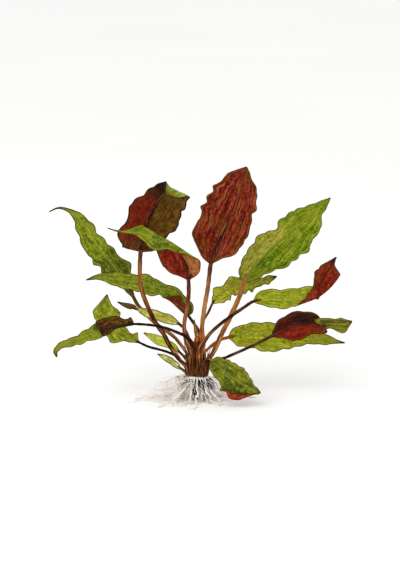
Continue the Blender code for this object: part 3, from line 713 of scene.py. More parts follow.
@dataclass(frozen=True)
class RootFinish:
    """Finish of the roots: off-white, faintly pink, with beige and brownish stretches about 4 mm long."""

    name: str = "pale root skin"
    shade: str = "#7c6858"
    body: str = "#dccdbd"
    light: str = "#f6efe7"
    top: str = "#c08a5c"
    start: str = "#fdfaf5"
    start_weight: float = 0.85
    start_end: float = 0.8
    top_weight: float = 0.35
    clear: float = 0.5

    def dress(self) -> Material:
        """Builds the material."""
        material, tree, shader = blank_material(self.name, 0.5, 0.2)
        shader.inputs["Subsurface Weight"].default_value = self.clear
        shader.inputs["Subsurface Radius"].default_value = (1.0, 0.9, 0.8)
        shader.inputs["Subsurface Scale"].default_value = 2.0 * MM
        place, lay, body = whereabouts(tree)
        blotch = add(tree, "TexNoise", {"Vector": body, "Scale": 240.0, "Detail": 5.0, "Roughness": 0.65})
        long_lay = add(tree, "Mapping", {"Vector": lay, "Scale": (2.2, 0.25, 2.2)})
        fibres = add(tree, "TexNoise", {"Vector": long_lay, "Scale": 1.0, "Detail": 3.0})
        mixed = add(tree, "Mix", {0: 0.4, 2: blotch, 3: fibres}, data_type="FLOAT")
        colour = ramp(tree, mixed, ((0.37, self.shade), (0.46, self.body), (0.58, self.light)))
        height = add(tree, "SeparateXYZ", {"Vector": body}).outputs["Z"]
        uneven = add(tree, "Math MULTIPLY_ADD", (blotch, 0.004, height))
        colour = over(tree, colour, fading(tree, uneven, 0.0205, 0.0185, self.top_weight), self.top)
        share = add(tree, "SeparateXYZ", {"Vector": place}).outputs["Z"]
        first = fading(tree, share, 0.45 * self.start_end, self.start_end, self.start_weight)
        colour = over(tree, colour, first, self.start)
        wear(tree, colour, mixed, 0.2, 0.5)
        return material


def select_only(*pieces: Object) -> None:
    """Selects these pieces and nothing else, with the first one active."""
    bpy.ops.object.select_all(action="DESELECT")
    for piece in pieces:
        piece.select_set(True)
    bpy.context.view_layer.objects.active = pieces[0]


def corners(mesh: Mesh) -> np.ndarray:
    """Places of a mesh's points, as rows of x, y and z."""
    flat = np.empty(len(mesh.vertices) * 3)
    mesh.vertices.foreach_get("co", flat)
    return flat.reshape(-1, 3)


def put(mesh: Mesh, places: np.ndarray) -> None:
    """Moves a mesh's points to these places."""
    mesh.vertices.foreach_set("co", places.astype(np.float32).ravel())
    mesh.update()


def note(mesh: Mesh, name: str, values: np.ndarray) -> None:
    """Writes a vector at each point of a mesh, for the materials to read."""
    attribute = mesh.attributes.new(name, "FLOAT_VECTOR", "POINT")
    attribute.data.foreach_set("vector", values.astype(np.float32).ravel())


def laid_rows(seen: np.ndarray) -> np.ndarray:
    """Places in mm, in the plant's frame, of rows of across, up and depth."""
    tilt = (math.cos(LAYOUT_TILT), math.sin(LAYOUT_TILT))
    back = seen[:, 2] * tilt[0] + seen[:, 1] * tilt[1]
    return np.stack((seen[:, 0], back, seen[:, 1] * tilt[0] - seen[:, 2] * tilt[1]), axis=1)


def laid_out(across: float, up: float, depth: float) -> np.ndarray:
    """Place in mm, in the plant's frame, of a point laid out as seen from the front."""
    return laid_rows(np.array(((across, up, depth),)))[0]


def seen_rows(places: np.ndarray) -> np.ndarray:
    """Across, up and depth, as seen from the front, of rows of places in mm."""
    tilt = (math.cos(LAYOUT_TILT), math.sin(LAYOUT_TILT))
    up = places[:, 1] * tilt[1] + places[:, 2] * tilt[0]
    return np.stack((places[:, 0], up, places[:, 1] * tilt[0] - places[:, 2] * tilt[1]), axis=1)


TO_VIEWER = Vector(laid_out(0.0, 0.0, -1.0))


def crown_radius(height: float) -> float:
    """Radius of the crown at a height, in mm."""
    heights, radii = zip(*CROWN_PROFILE)
    return float(np.interp(height, heights, radii))


def smooth_step(low: float, high: float, values: np.ndarray) -> np.ndarray:
    """Rises smoothly from 0 at low to 1 at high."""
    share = np.clip((values - low) / (high - low), 0.0, 1.0)
    return share * share * (3.0 - 2.0 * share)


def travelled(points: np.ndarray) -> np.ndarray:
    """Length travelled along a line up to each of its points."""
    return np.concatenate(([0.0], np.cumsum(np.linalg.norm(np.diff(points, axis=0), axis=1))))


def swelling(shares: np.ndarray) -> np.ndarray:
    """Rises from 0 at both ends of a blade to 1 at its middle."""
    return np.sqrt(np.clip(np.sin(np.pi * shares), 0.0, 1.0))


def compass(azimuth: float) -> Vector:
    """Level direction at a compass angle in radians."""
    return Vector((math.cos(azimuth), math.sin(azimuth), 0.0))


class Spine:
    """Line of a leaf from foot to tip, with its widths, roll and folds at any length along it.

    Each row holds the place, left and right half width, half thickness, roll, lifts and curls.
    """

    def __init__(self, shape: LeafShape) -> None:
        """Lays out the rows of a leaf and the length of each one along the leaf, in mm."""
        azimuth = math.radians(shape.foot[0])
        height = shape.foot[1]
        foot_radius, top_radius = shape.stalk_radius
        reach = crown_radius(height) + FOOT_GAP + foot_radius * FOOT_SET
        foot = np.array((reach * math.cos(azimuth), reach * math.sin(azimuth), height))
        places = [foot] + [laid_out(*point) for point in shape.stalk]
        base_roll = shape.blade[0].roll
        rows = []
        for i, place in enumerate(places):
            radius = foot_radius + (top_radius - foot_radius) * i / len(places)
            rows.append((*place, radius, radius, radius, base_roll, 0.0, 0.0, 0.0, 0.0))
        for i, rib in enumerate(shape.blade):
            folds = (0.0,) * 4 if i == 0 else (rib.lift_left, rib.lift_right, rib.curl_left, rib.curl_right)
            place = laid_out(rib.across, rib.up, rib.depth)
            rows.append((*place, rib.left, rib.right, top_radius, rib.roll, *folds))
        self.rows = np.array(rows)
        self.knots = travelled(self.rows[:, :3])
        self.start = self.knots[len(places)]
        self.end = self.knots[-1]
        self.slopes = self.find_slopes()

    def find_slopes(self) -> np.ndarray:
        """Slope of each column at each row, from the parabola through its neighbours."""
        spans = np.diff(self.knots)[:, None]
        steps = np.diff(self.rows, axis=0) / spans
        inner = (steps[:-1] * spans[1:] + steps[1:] * spans[:-1]) / (spans[:-1] + spans[1:])
        return np.concatenate((steps[:1], inner, steps[-1:]))

    def at(self, lengths: np.ndarray) -> np.ndarray:
        """Rows at lengths along the leaf.

        Args:
            lengths: Lengths from the foot, in mm.

        Returns:
            One row for each length.
        """
        index = np.clip(np.searchsorted(self.knots, lengths, side="right") - 1, 0, len(self.knots) - 2)
        span = (self.knots[index + 1] - self.knots[index])[:, None]
        s = (lengths[:, None] - self.knots[index][:, None]) / span
        return (
            self.rows[index] * (2 * s**3 - 3 * s**2 + 1)
            + self.slopes[index] * (span * (s**3 - 2 * s**2 + s))
            + self.rows[index + 1] * (3 * s**2 - 2 * s**3)
            + self.slopes[index + 1] * (span * (s**3 - s**2))
        )


def directions(centres: np.ndarray) -> list[Vector]:
    """Direction of a line at each of its points."""
    ahead = np.concatenate((centres[1:], centres[-1:]))
    behind = np.concatenate((centres[:1], centres[:-1]))
    return [Vector(step).normalized() for step in ahead - behind]


def carried(ways: list[Vector], first: Vector) -> list[Vector]:
    """Carries a direction along a line without twisting it.

    Args:
        ways: Direction of the line at each point.
        first: Direction at the first point, turned square to the line.

    Returns:
        The direction at each point.
    """
    face = (first - ways[0] * first.dot(ways[0])).normalized()
    faces = [face]
    for before, way in zip(ways, ways[1:]):
        face = before.rotation_difference(way) @ face
        faces.append((face - way * face.dot(way)).normalized())
    return faces


class Rods:
    """Straight rods of unit radius and height, each modelled once, and bent copies of them."""

    def __init__(self) -> None:
        """Starts with no rod."""
        self.made: dict[tuple[int, int], Object] = {}

    def straight(self, sides: int, rings: int) -> Object:
        """Models a straight rod, or finds the one already made.

        Args:
            sides: Number of sides.
            rings: Number of stretches along it.

        Returns:
            The rod, from z = 0 to 1.
        """
        if (sides, rings) not in self.made:
            bpy.ops.object.select_all(action="DESELECT")
            bpy.ops.mesh.primitive_cylinder_add(
                vertices=sides, radius=1.0, depth=1.0, end_fill_type="TRIFAN", location=(0.0, 0.0, 0.5)
            )
            rod = bpy.context.object
            bpy.ops.object.transform_apply(location=True)
            bpy.ops.object.mode_set(mode="EDIT")
            bpy.ops.mesh.select_mode(type="EDGE")
            bpy.ops.mesh.select_all(action="DESELECT")
            shell = bmesh.from_edit_mesh(rod.data)
            for edge in shell.edges:
                edge.select = abs(edge.verts[0].co.z - edge.verts[1].co.z) > 0.5
            bmesh.update_edit_mesh(rod.data)
            bpy.ops.mesh.subdivide(number_cuts=rings - 1)
            bpy.ops.object.mode_set(mode="OBJECT")
            self.made[(sides, rings)] = rod
        return self.made[(sides, rings)]

    def bent(
        self, centres: np.ndarray, wide: np.ndarray, deep: np.ndarray, faces: list[Vector], shares: np.ndarray,
        sides: int, wrap: np.ndarray | None = None,
    ) -> Object:
        """Copies a rod and bends the copy along a line.

        Args:
            centres: Points of the line, in mm.
            wide: Half width at each point, in mm.
            deep: Half depth, along the face direction, at each point, in mm.
            faces: Face direction at each point.
            shares: Share of the way along, for the materials.
            sides: Number of sides.
            wrap: How much the section bends round behind its face, per mm, at each point.

        Returns:
            The bent rod.
        """
        template = self.straight(sides, len(centres) - 1)
        rod = template.copy()
        rod.data = template.data.copy()
        bpy.context.scene.collection.objects.link(rod)
        places = corners(rod.data)
        ring = np.rint(places[:, 2] * (len(centres) - 1)).astype(int)
        face = np.array(faces)
        way = np.array(directions(centres))
        side = np.cross(face, way)
        x = places[:, 0] * wide[ring]
        y = places[:, 1] * deep[ring]
        if wrap is not None:
            y = y - wrap[ring] * x * x
        bent = centres[ring] + side[ring] * x[:, None] + face[ring] * y[:, None]
        put(rod.data, bent * MM)
        note(rod.data, PLACE, np.stack((places[:, 0], places[:, 1], shares[ring]), axis=1))
        note(rod.data, LAY, np.stack((x, travelled(centres)[ring], places[:, 1] * deep[ring]), axis=1))
        return rod

    def clear(self) -> None:
        """Removes the straight rods."""
        for rod in self.made.values():
            bpy.data.objects.remove(rod, do_unlink=True)
        self.made.clear()


@dataclass(frozen=True)
class Frill:
    """Small arcs of a margin: how many a side, their depth in mm, their start, and the height of its ruffles."""

    count: float = 7.0
    depth: float = 1.2
    phase: float = 0.0
    ruffle: float = 0.9


@dataclass(frozen=True)
class Gather:
    """Spare margin gathered at a twist of a blade.

    Place is the twist's share of the blade, reach how far from it the margin slides most, and left and right
    how far each margin slides over the twist from both ends, in mm.
    """

    place: float
    reach: float
    left: float
    right: float

    def slide(self, shares: np.ndarray, length: float, half: Half) -> np.ndarray:
        """Slides of one margin along the blade.

        Args:
            shares: Share of the blade's length at each row.
            length: Length of the blade, in mm.
            half: Side of the blade.

        Returns:
            Slides towards the tip, in mm.
        """
        turn = (shares - self.place) * length / self.reach
        size = self.left if half is Half.LEFT else self.right
        return -size * turn * np.exp(0.5 * (1.0 - turn * turn))


@dataclass(frozen=True)
class Fold:
    """Fold of a blade along a line, given as points across and up as seen from the front, in mm.

    The part of the blade to the right of the line is folded over to the front, by an angle in degrees. The
    crease pulls the blade flat beside it, as far as calm. The line is smoothed in rounds and runs on beyond its ends.
    """

    line: tuple[tuple[float, float], ...]
    angle: float = 168.0
    radius: float = 1.0
    calm: float = 8.0
    points: int = 41
    rounds: int = 30
    beyond: float = 50.0

    def crease(self) -> np.ndarray:
        """Points along the line, close together and smoothed, so that the part folded over stays in one piece."""
        knots = np.array(self.line)
        travel = travelled(knots)
        spots = np.linspace(0.0, travel[-1], self.points)
        points = np.stack([np.interp(spots, travel, knots[:, axis]) for axis in range(2)], axis=1)
        for _ in range(self.rounds):
            points[1:-1] = (points[:-2] + 2.0 * points[1:-1] + points[2:]) / 4.0
        return points

    def over(self, places: np.ndarray, ribs: tuple[Rib, ...], front: np.ndarray | float = 0.0) -> np.ndarray:
        """Folds places over.

        Args:
            places: Places on the blade laid out flat, in mm.
            ribs: Ribs of the blade, which give its depth.
            front: How far in front of the blade each place is, in mm.

        Returns:
            The places after the fold.
        """
        seen = seen_rows(places)
        knots = self.crease()
        feet, gaps, rights = [], [], []
        for index, (start, end) in enumerate(zip(knots, knots[1:])):
            span = end - start
            low = -self.beyond if index == 0 else 0.0
            high = self.beyond if index == len(knots) - 2 else 1.0
            share = np.clip((seen[:, :2] - start) @ span / (span @ span), low, high)
            foot = start + share[:, None] * span
            feet.append(foot)
            gaps.append(np.linalg.norm(seen[:, :2] - foot, axis=1))
            right = np.array((span[1], -span[0])) / np.linalg.norm(span)
            rights.append(np.tile(right, (len(seen), 1)))
        nearest = np.argmin(gaps, axis=0)
        pick = np.arange(len(seen))
        foot, gap, right = (np.array(values)[nearest, pick] for values in (feet, gaps, rights))
        away = (seen[:, :2] - foot) / np.maximum(gap, 1e-6)[:, None]
        past = gap * np.sign(np.sum(away * right, axis=1))
        away = np.where((gap < 0.05)[:, None], right, away)
        line = np.array([(rib.across, rib.up) for rib in ribs])
        main = (line[-1] - line[0]) / np.linalg.norm(line[-1] - line[0])
        travel = np.maximum.accumulate((line - line[0]) @ main)
        level = np.interp((foot - line[0]) @ main, travel, [rib.depth for rib in ribs])
        calm = np.clip(gap / self.calm, 0.0, 1.0)
        rise = (level - seen[:, 2]) * calm * calm * (3.0 - 2.0 * calm) + front
        full = math.radians(self.angle)
        bend = np.clip(past / self.radius, 0.0, full)
        rest = np.maximum(0.0, past - self.radius * full)
        reach = self.radius * np.sin(bend) + rest * math.cos(full) - rise * np.sin(bend)
        lift = self.radius * (1.0 - np.cos(bend)) + rest * math.sin(full) + rise * np.cos(bend)
        folded = np.concatenate((foot + away * reach[:, None], (level - lift)[:, None]), axis=1)
        flat = np.concatenate((seen[:, :2], (level - rise)[:, None]), axis=1)
        return laid_rows(np.where((past > 0.0)[:, None], folded, flat))


@dataclass(frozen=True)
class LeafDress:
    """Finishes and margins of one leaf.

    Bulges are swellings of each margin, with their place and reach as shares of the blade and their size in mm.
    The lobe is how far its base reaches back past the stalk, in mm, and midrib_end is the share of the blade at
    which its midrib ends.
    """

    upper: LeafFace
    under: LeafFace
    stalk: StalkFinish
    slot: str = "leaf_green"
    frill: Frill = Frill()
    bulges_left: tuple[tuple[float, float, float], ...] = ()
    bulges_right: tuple[tuple[float, float, float], ...] = ()
    lobe: float = 0.0
    midrib_end: float = 0.94
    gather: Gather | None = None
    fold: Fold | None = None


@dataclass
class LeafPiece:
    """One leaf: a thin ruffled blade on a fibrous stalk that runs on under the blade as its midrib.

    Sizes are in mm. The sheath is the stalk's wide foot, which runs down the crown from the leaf's own foot, at
    most as far as the drop, and ends at an uneven low line. Fine has the step, columns and crinkle of a blade
    that is folded or twisted.
    """

    rods: Rods
    shape: LeafShape
    dress: LeafDress
    thickness: float = 0.34
    step: float = 0.8
    columns: int = 44
    crinkle: float = 0.6
    fine: tuple[float, int, float] = (0.45, 64, 0.22)
    least_width: float = 0.12
    sheath_width: float = 2.05
    sheath_length: float = 9.0
    sheath_low: tuple[float, float] = (15.2, 1.5)
    sheath_drop: float = 16.0
    sheath_step: float = 0.8
    sheath_sunk: float = 0.6
    stalk_step: float = 1.2
    midrib_rings: int = 110
    midrib_taper: float = 0.94
    midrib_power: float = 0.8
    midrib_size: float = 0.8
    midrib_tip: float = 0.16
    stem_sides: int = 14
    spine: Spine = field(init=False)

    def __post_init__(self) -> None:
        """Lays out the leaf's line, and takes a finer, calmer sheet where it is folded or twisted."""
        self.spine = Spine(self.shape)
        if self.dress.gather or self.dress.fold:
            self.step, self.columns, self.crinkle = self.fine

    def build(self, finishes: dict[object, Material]) -> Object:
        """Builds and dresses the leaf.

        Args:
            finishes: Material of each finish.

        Returns:
            The leaf, one object.
        """
        blade = self.blade()
        for finish in (self.dress.upper, self.dress.under, EDGE, self.dress.stalk):
            blade.data.materials.append(finishes[finish])
        wall = blade.modifiers.new("leaf thickness", "SOLIDIFY")
        wall.thickness = self.thickness * MM
        wall.offset = 0.0
        wall.material_offset = 1
        wall.material_offset_rim = 2
        select_only(blade)
        bpy.ops.object.modifier_apply(modifier=wall.name)
        stem = self.stem()
        stem.data.materials.append(finishes[self.dress.stalk])
        select_only(blade, stem)
        bpy.ops.object.join()
        bpy.ops.object.shade_smooth_by_angle(angle=math.radians(50.0))
        blade.name = self.shape.node.replace("leaf_", "") + "_leaf"
        blade.data.name = blade.name
        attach(blade, BODY)
        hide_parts(self.shape.node)
        return blade

    def frames(self, lengths: np.ndarray) -> tuple[np.ndarray, np.ndarray, np.ndarray, np.ndarray]:
        """Rows and axes of the blade at lengths along the leaf.

        Args:
            lengths: Lengths from the foot, the first at the blade's base, in mm.

        Returns:
            Rows, directions along, upper side's normals before the folds, and directions to the right.
        """
        rows = self.spine.at(lengths)
        ways = directions(rows[:, :3])
        faces = []
        for way, face, roll in zip(ways, carried(ways, TO_VIEWER), rows[:, 6]):
            faces.append(Quaternion(way, math.radians(roll)) @ face)
        way = np.array(ways)
        face = np.array(faces)
        return rows, way, face, np.cross(way, face)

    def half_widths(self, rows: np.ndarray, shares: np.ndarray, half: Half) -> np.ndarray:
        """Half width of the blade on one side, with its arcs and bulges.

        Args:
            rows: Rows of the leaf's line.
            shares: Share of the blade's length at each row.
            half: Side of the blade.

        Returns:
            Half widths in mm.
        """
        width = rows[:, 3 if half is Half.LEFT else 4].copy()
        lag = 0.0 if half is Half.LEFT else RIGHT_LAG
        turn = self.dress.frill.count * shares + self.dress.frill.phase + lag + 0.12 * np.sin(9.0 * shares + lag)
        arcs = np.abs(np.sin(np.pi * turn)) - 0.45
        width += self.dress.frill.depth * swelling(shares) * arcs * np.minimum(1.0, width / 5.0)
        for place, reach, size in self.dress.bulges_left if half is Half.LEFT else self.dress.bulges_right:
            width += size * np.exp(-(((shares - place) / reach) ** 2))
        return np.maximum(width, self.least_width)

    def blade(self) -> Object:
        """Models the blade as a sheet with its upper side out.

        Returns:
            The sheet, at its place.
        """
        length = self.spine.end - self.spine.start
        count = max(24, round(length / self.step))
        bpy.ops.object.select_all(action="DESELECT")
        bpy.ops.mesh.primitive_grid_add(x_subdivisions=self.columns, y_subdivisions=count, size=2.0)
        sheet = bpy.context.object
        grid = corners(sheet.data)
        column = np.rint((grid[:, 0] + 1.0) / 2.0 * self.columns).astype(int)
        row = np.rint((grid[:, 1] + 1.0) / 2.0 * count).astype(int)
        shares = np.linspace(0.0, 1.0, count + 1)
        rows, way, face, side = self.frames(self.spine.start + shares * length)
        half_count = self.columns // 2
        back = self.dress.lobe * (1.0 - smooth_step(0.0, 0.16, shares))[:, None]
        spots = np.zeros((count + 1, self.columns + 1, 3))
        lay = np.zeros_like(spots)
        for half in Half:
            across, above, reach = self.half_section(rows, shares, half)
            slide = self.dress.gather.slide(shares, length, half) if self.dress.gather else np.zeros(count + 1)
            for k in range(half_count + 1):
                place = rows[:, :3] + side * (half.value * across[:, k : k + 1]) + face * above[:, k : k + 1]
                place = place + way * (slide * (k / half_count) ** 1.5)[:, None]
                spots[:, half_count + half.value * k] = place - way * back * math.sqrt(k / half_count)
                lay[:, half_count + half.value * k, 0] = half.value * reach[:, k]
                lay[:, half_count + half.value * k, 1] = shares * length
        places = spots[row, column]
        push = np.array([noise.noise(Vector(spot) * 0.17) + 0.5 * noise.noise(Vector(spot) * 0.4) for spot in places])
        fade = np.minimum(1.0, np.abs(column - half_count) / (0.3 * half_count))
        places = places + face[row] * (push * fade * swelling(shares)[row] * self.crinkle)[:, None]
        if self.dress.fold:
            places = self.dress.fold.over(places, self.shape.blade)
        put(sheet.data, places * MM)
        spread = (column - half_count) / half_count
        note(sheet.data, PLACE, np.stack((spread, shares[row], np.zeros(len(row))), axis=1))
        note(sheet.data, LAY, lay[row, column])
        return sheet

    def half_section(self, rows: np.ndarray, shares: np.ndarray, half: Half) -> tuple:
        """Sections of one half of the blade.

        Args:
            rows: Rows of the leaf's line.
            shares: Share of the blade's length at each row.
            half: Side of the blade.

        Returns:
            Distances out from the midrib, heights above it, and lengths along the section, in mm, each with
            a row for each row of the leaf and a column for each column of the half.
        """
        steps = self.columns // 2
        left = half is Half.LEFT
        lift = np.radians(rows[:, 7 if left else 8])[:, None]
        curl = np.radians(rows[:, 9 if left else 10])[:, None]
        width = self.half_widths(rows, shares, half)[:, None]
        middle = (np.arange(steps) + 0.5) / steps
        angle = lift * smooth_step(-0.05, 0.12, middle) + curl * smooth_step(0.5, 0.86, middle)
        zero = np.zeros((len(rows), 1))
        across = np.concatenate((zero, np.cumsum(np.cos(angle) * width / steps, axis=1)), axis=1)
        above = np.concatenate((zero, np.cumsum(np.sin(angle) * width / steps, axis=1)), axis=1)
        out = np.arange(steps + 1) / steps
        bend = lift * smooth_step(-0.05, 0.12, out) + curl * smooth_step(0.5, 0.86, out)
        wave = self.ruffles(shares, half)[:, None] * out**2.2
        wave = wave + self.fine_ruffles(shares, half)[:, None] * out**4
        limit = np.minimum(1.0, width / 4.0)
        across = across - np.sin(bend) * wave * limit
        above = above + np.cos(bend) * wave * limit
        return across, above, out * width

    def ruffles(self, shares: np.ndarray, half: Half) -> np.ndarray:
        """Heights in mm of the long ruffles along one margin."""
        count, height, phase = self.shape.waves
        turn = 2 * np.pi * (count * shares + phase) + (0.0 if half is Half.LEFT else 0.9 * np.pi)
        return height * swelling(shares) * np.sin(turn)

    def fine_ruffles(self, shares: np.ndarray, half: Half) -> np.ndarray:
        """Heights in mm of the small ruffles along one margin."""
        lag = 0.0 if half is Half.LEFT else RIGHT_LAG
        turn = 2 * np.pi * (self.dress.frill.count * shares + self.dress.frill.phase + lag + 0.25)
        return self.dress.frill.ruffle * swelling(shares) * np.sin(turn + 1.3 * np.sin(7.0 * shares))

    def stem(self) -> Object:
        """Models the stalk from its sheath on the crown to the end of the midrib.

        Returns:
            The stalk.
        """
        spine = self.spine
        azimuth = math.radians(self.shape.foot[0])
        foot_height = self.shape.foot[1]
        foot_radius, top_radius = self.shape.stalk_radius
        level, uneven = self.sheath_low
        low = max(level + uneven * math.sin(5.3 * azimuth), foot_height - self.sheath_drop)
        drop = np.arange(low, foot_height - 1.0, self.sheath_step)
        sheath = []
        for height in drop:
            share = (height - low) / max(1.0, foot_height - low)
            tuck = 1.6 * math.exp(-(height - low) / 1.8)
            rise = share * (FOOT_GAP + foot_radius * FOOT_SET + self.sheath_sunk)
            out = crown_radius(height) - self.sheath_sunk - tuck + rise
            sheath.append((out * math.cos(azimuth), out * math.sin(azimuth), height))
        stalk_lengths = np.arange(0.0, spine.start, self.stalk_step)
        stalk = spine.at(stalk_lengths)
        blade_length = spine.end - spine.start
        midrib_end = self.dress.midrib_end
        blade_lengths = spine.start + np.linspace(0.0, midrib_end, self.midrib_rings) * blade_length
        rows, _, face, _ = self.frames(np.concatenate((blade_lengths, [spine.end])))
        rows, face = rows[:-1], face[:-1]
        along = (blade_lengths - spine.start) / blade_length
        thinning = (1.0 - along * self.midrib_taper / midrib_end) ** self.midrib_power
        rib_radius = top_radius * thinning * self.midrib_size + self.midrib_tip
        rib_radius[0] = top_radius
        sunk = (rib_radius + 0.1) * np.minimum(1.0, along * 12.0)
        rib = rows[:, :3] - face * sunk[:, None]
        if self.dress.fold:
            rib = self.dress.fold.over(rows[:, :3], self.shape.blade, -sunk * (face @ np.array(TO_VIEWER)))
        centres = np.concatenate((np.array(sheath).reshape(-1, 3), stalk[:, :3], rib))
        before = len(sheath) + len(stalk_lengths)
        travel = travelled(centres)
        flare = np.exp(-((np.maximum(0.0, travel - travel[len(sheath)]) / self.sheath_length) ** 2))
        flare[: len(sheath)] = 1.0
        radius = np.concatenate((np.full(len(sheath), foot_radius), stalk[:, 5], rib_radius)) * 1.08 + 0.05
        wide = radius + flare * np.maximum(0.0, self.sheath_width - radius)
        wide[: len(sheath)] *= 1.0 - 0.6 * np.exp(-(drop - low) / 1.5)
        deep = radius * (1.0 - 0.3 * flare)
        shares = np.concatenate((travel[:before] / travel[before], 1.0 + along))
        ways = directions(centres)
        wrap = flare / (2.0 * max(3.0, crown_radius(foot_height)))
        lump = 1.0 + 0.05 * np.sin(travel * 0.8 + azimuth) + 0.04 * np.sin(travel * 2.1)
        faces = carried(ways, compass(azimuth))
        return self.rods.bent(centres, wide * lump, deep * lump, faces, shares, self.stem_sides, wrap)


@dataclass
class CrownPiece:
    """Rootstock and crown: a ringed, fibrous core, flat where it was cut. Sizes are in mm.

    The waist is a groove round it under the sheaths, as its depth, height and half width.
    """

    node: str = "crown"
    sides: int = 56
    ring_step: float = 1.0
    lump: float = 0.35
    waist: tuple[float, float, float] = (1.2, 15.5, 2.6)

    def build(self, finish: Material) -> Object:
        """Builds and dresses the crown.

        Args:
            finish: Its material.

        Returns:
            The crown.
        """
        top = CROWN_PROFILE[-1][0]
        bpy.ops.object.select_all(action="DESELECT")
        bpy.ops.mesh.primitive_circle_add(
            vertices=self.sides, radius=CROWN_PROFILE[0][1] * MM, fill_type="NGON", location=(0.0, 0.0, 0.0)
        )
        core = bpy.context.object
        bpy.ops.object.mode_set(mode="EDIT")
        bpy.ops.mesh.select_all(action="SELECT")
        radius = CROWN_PROFILE[0][1]
        height = 0.0
        while height < top - 0.01:
            rise = min(self.ring_step, top - height)
            bpy.ops.mesh.extrude_region_move(TRANSFORM_OT_translate={"value": (0.0, 0.0, rise * MM)})
            height += rise
            scale = crown_radius(height) / radius
            bpy.ops.transform.resize(value=(scale, scale, 1.0), center_override=(0.0, 0.0, height * MM))
            radius = crown_radius(height)
        bpy.ops.mesh.select_all(action="SELECT")
        bpy.ops.mesh.normals_make_consistent(inside=False)
        bpy.ops.object.mode_set(mode="OBJECT")
        places = corners(core.data)
        self.roughen(places)
        put(core.data, places)
        core.data.materials.append(finish)
        select_only(core)
        bpy.ops.object.shade_smooth_by_angle(angle=math.radians(45.0))
        core.name = "rootstock"
        core.data.name = core.name
        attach(core, BODY)
        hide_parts(self.node)
        return core

    def roughen(self, places: np.ndarray) -> None:
        """Presses scars and ribs into the side of the core.

        Args:
            places: Places of its points in metres, changed in place.
        """
        groove, level, spread = self.waist
        for spot in places:
            angle = math.atan2(spot[1], spot[0])
            height = spot[2] / MM
            ribs = 0.5 * math.sin(11.0 * angle + 0.6 * math.sin(height * 0.5))
            scars = 0.6 * math.sin(height * 2.1 + 1.5 * math.sin(2.0 * angle))
            rough = noise.noise(Vector(spot) * 420.0)
            shrink = self.lump * MM * (ribs + scars + 1.6 * rough - 1.6) * min(1.0, height / 1.5)
            shrink -= groove * MM * math.exp(-(((height - level) / spread) ** 2))
            out = math.hypot(spot[0], spot[1])
            if out > 0.5 * MM:
                spot[0] += spot[0] / out * shrink
                spot[1] += spot[1] / out * shrink


@dataclass
class OldSheaths:
    """Strap-like bases of old leaves that stand round the crown and overlap. Sizes are in mm."""

    rods: Rods
    count: int = 17
    first_seed: int = 77
    foot_height: float = 17.0
    lengths: tuple[float, float] = (9.0, 30.0)
    lean: tuple[float, float] = (0.3, 4.5)
    half_width: float = 2.1
    thickness: float = 0.45
    rings: int = 18
    sides: int = 12
    wrap: float = 1.0 / 14.0

    def build(self, finish: Material, crown: Object) -> None:
        """Builds the sheaths and joins them to the crown, which they grow on.

        Args:
            finish: Their material.
            crown: The crown.
        """
        straps = [self.strap(index) for index in range(self.count)]
        for strap in straps:
            strap.data.materials.append(finish)
        select_only(crown, *straps)
        bpy.ops.object.join()

    def strap(self, index: int) -> Object:
        """Bends one sheath up from the crown.

        Args:
            index: Number of the sheath.

        Returns:
            The sheath.
        """
        chance = random.Random(self.first_seed + index)
        azimuth = 2 * math.pi * (index + chance.uniform(-0.3, 0.3)) / self.count
        share = np.linspace(0.0, 1.0, self.rings + 1)
        length = chance.uniform(*self.lengths)
        height = self.foot_height + chance.uniform(-1.0, 2.0) + length * share
        out = crown_radius(self.foot_height) - 0.2 + chance.uniform(0.0, 0.6)
        out = out + chance.uniform(*self.lean) * share**1.6
        turn = azimuth + chance.uniform(-0.25, 0.25) * share**2
        centres = np.stack((out * np.cos(turn), out * np.sin(turn), height), axis=1)
        wide = self.half_width * chance.uniform(0.55, 1.15) * (1.0 - share**1.6)
        wide = wide * (1.0 + 0.12 * np.sin(share * 14.0)) + 0.15
        deep = self.thickness * (1.0 - 0.6 * share)
        faces = carried(directions(centres), compass(azimuth))
        return self.rods.bent(centres, wide, deep, faces, share, self.sides, np.full(len(share), self.wrap))


@dataclass
class SpearPiece:
    """Rolled young leaf on the middle of the crown. Sizes are in mm."""

    rods: Rods
    node: str = "young_spear"
    radii: tuple[float, ...] = (0.8, 1.3, 1.1, 0.3)
    foot: float = 46.0
    length: float = 13.8
    rings: int = 36
    sides: int = 10

    def build(self, finish: Material) -> Object:
        """Builds and dresses the young leaf.

        Args:
            finish: Its material.

        Returns:
            The young leaf.
        """
        share = np.linspace(0.0, 1.0, self.rings)
        step = share * (len(self.radii) - 1)
        centres = np.stack((-0.6 - 0.5 * step, 0.3 * step, self.foot + self.length * share), axis=1)
        radius = np.interp(step, range(len(self.radii)), self.radii)
        groove = 1.0 - 0.12 * np.abs(np.sin(share * 9.0))
        faces = carried(directions(centres), Vector((0.0, -1.0, 0.0)))
        spear = self.rods.bent(centres, radius, radius * groove * 0.85, faces, share, self.sides)
        spear.data.materials.append(finish)
        select_only(spear)
        bpy.ops.object.shade_smooth_by_angle(angle=math.radians(50.0))
        spear.name = "rolled_young_leaf"
        spear.data.name = spear.name
        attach(spear, BODY)
        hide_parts(self.node)
        return spear


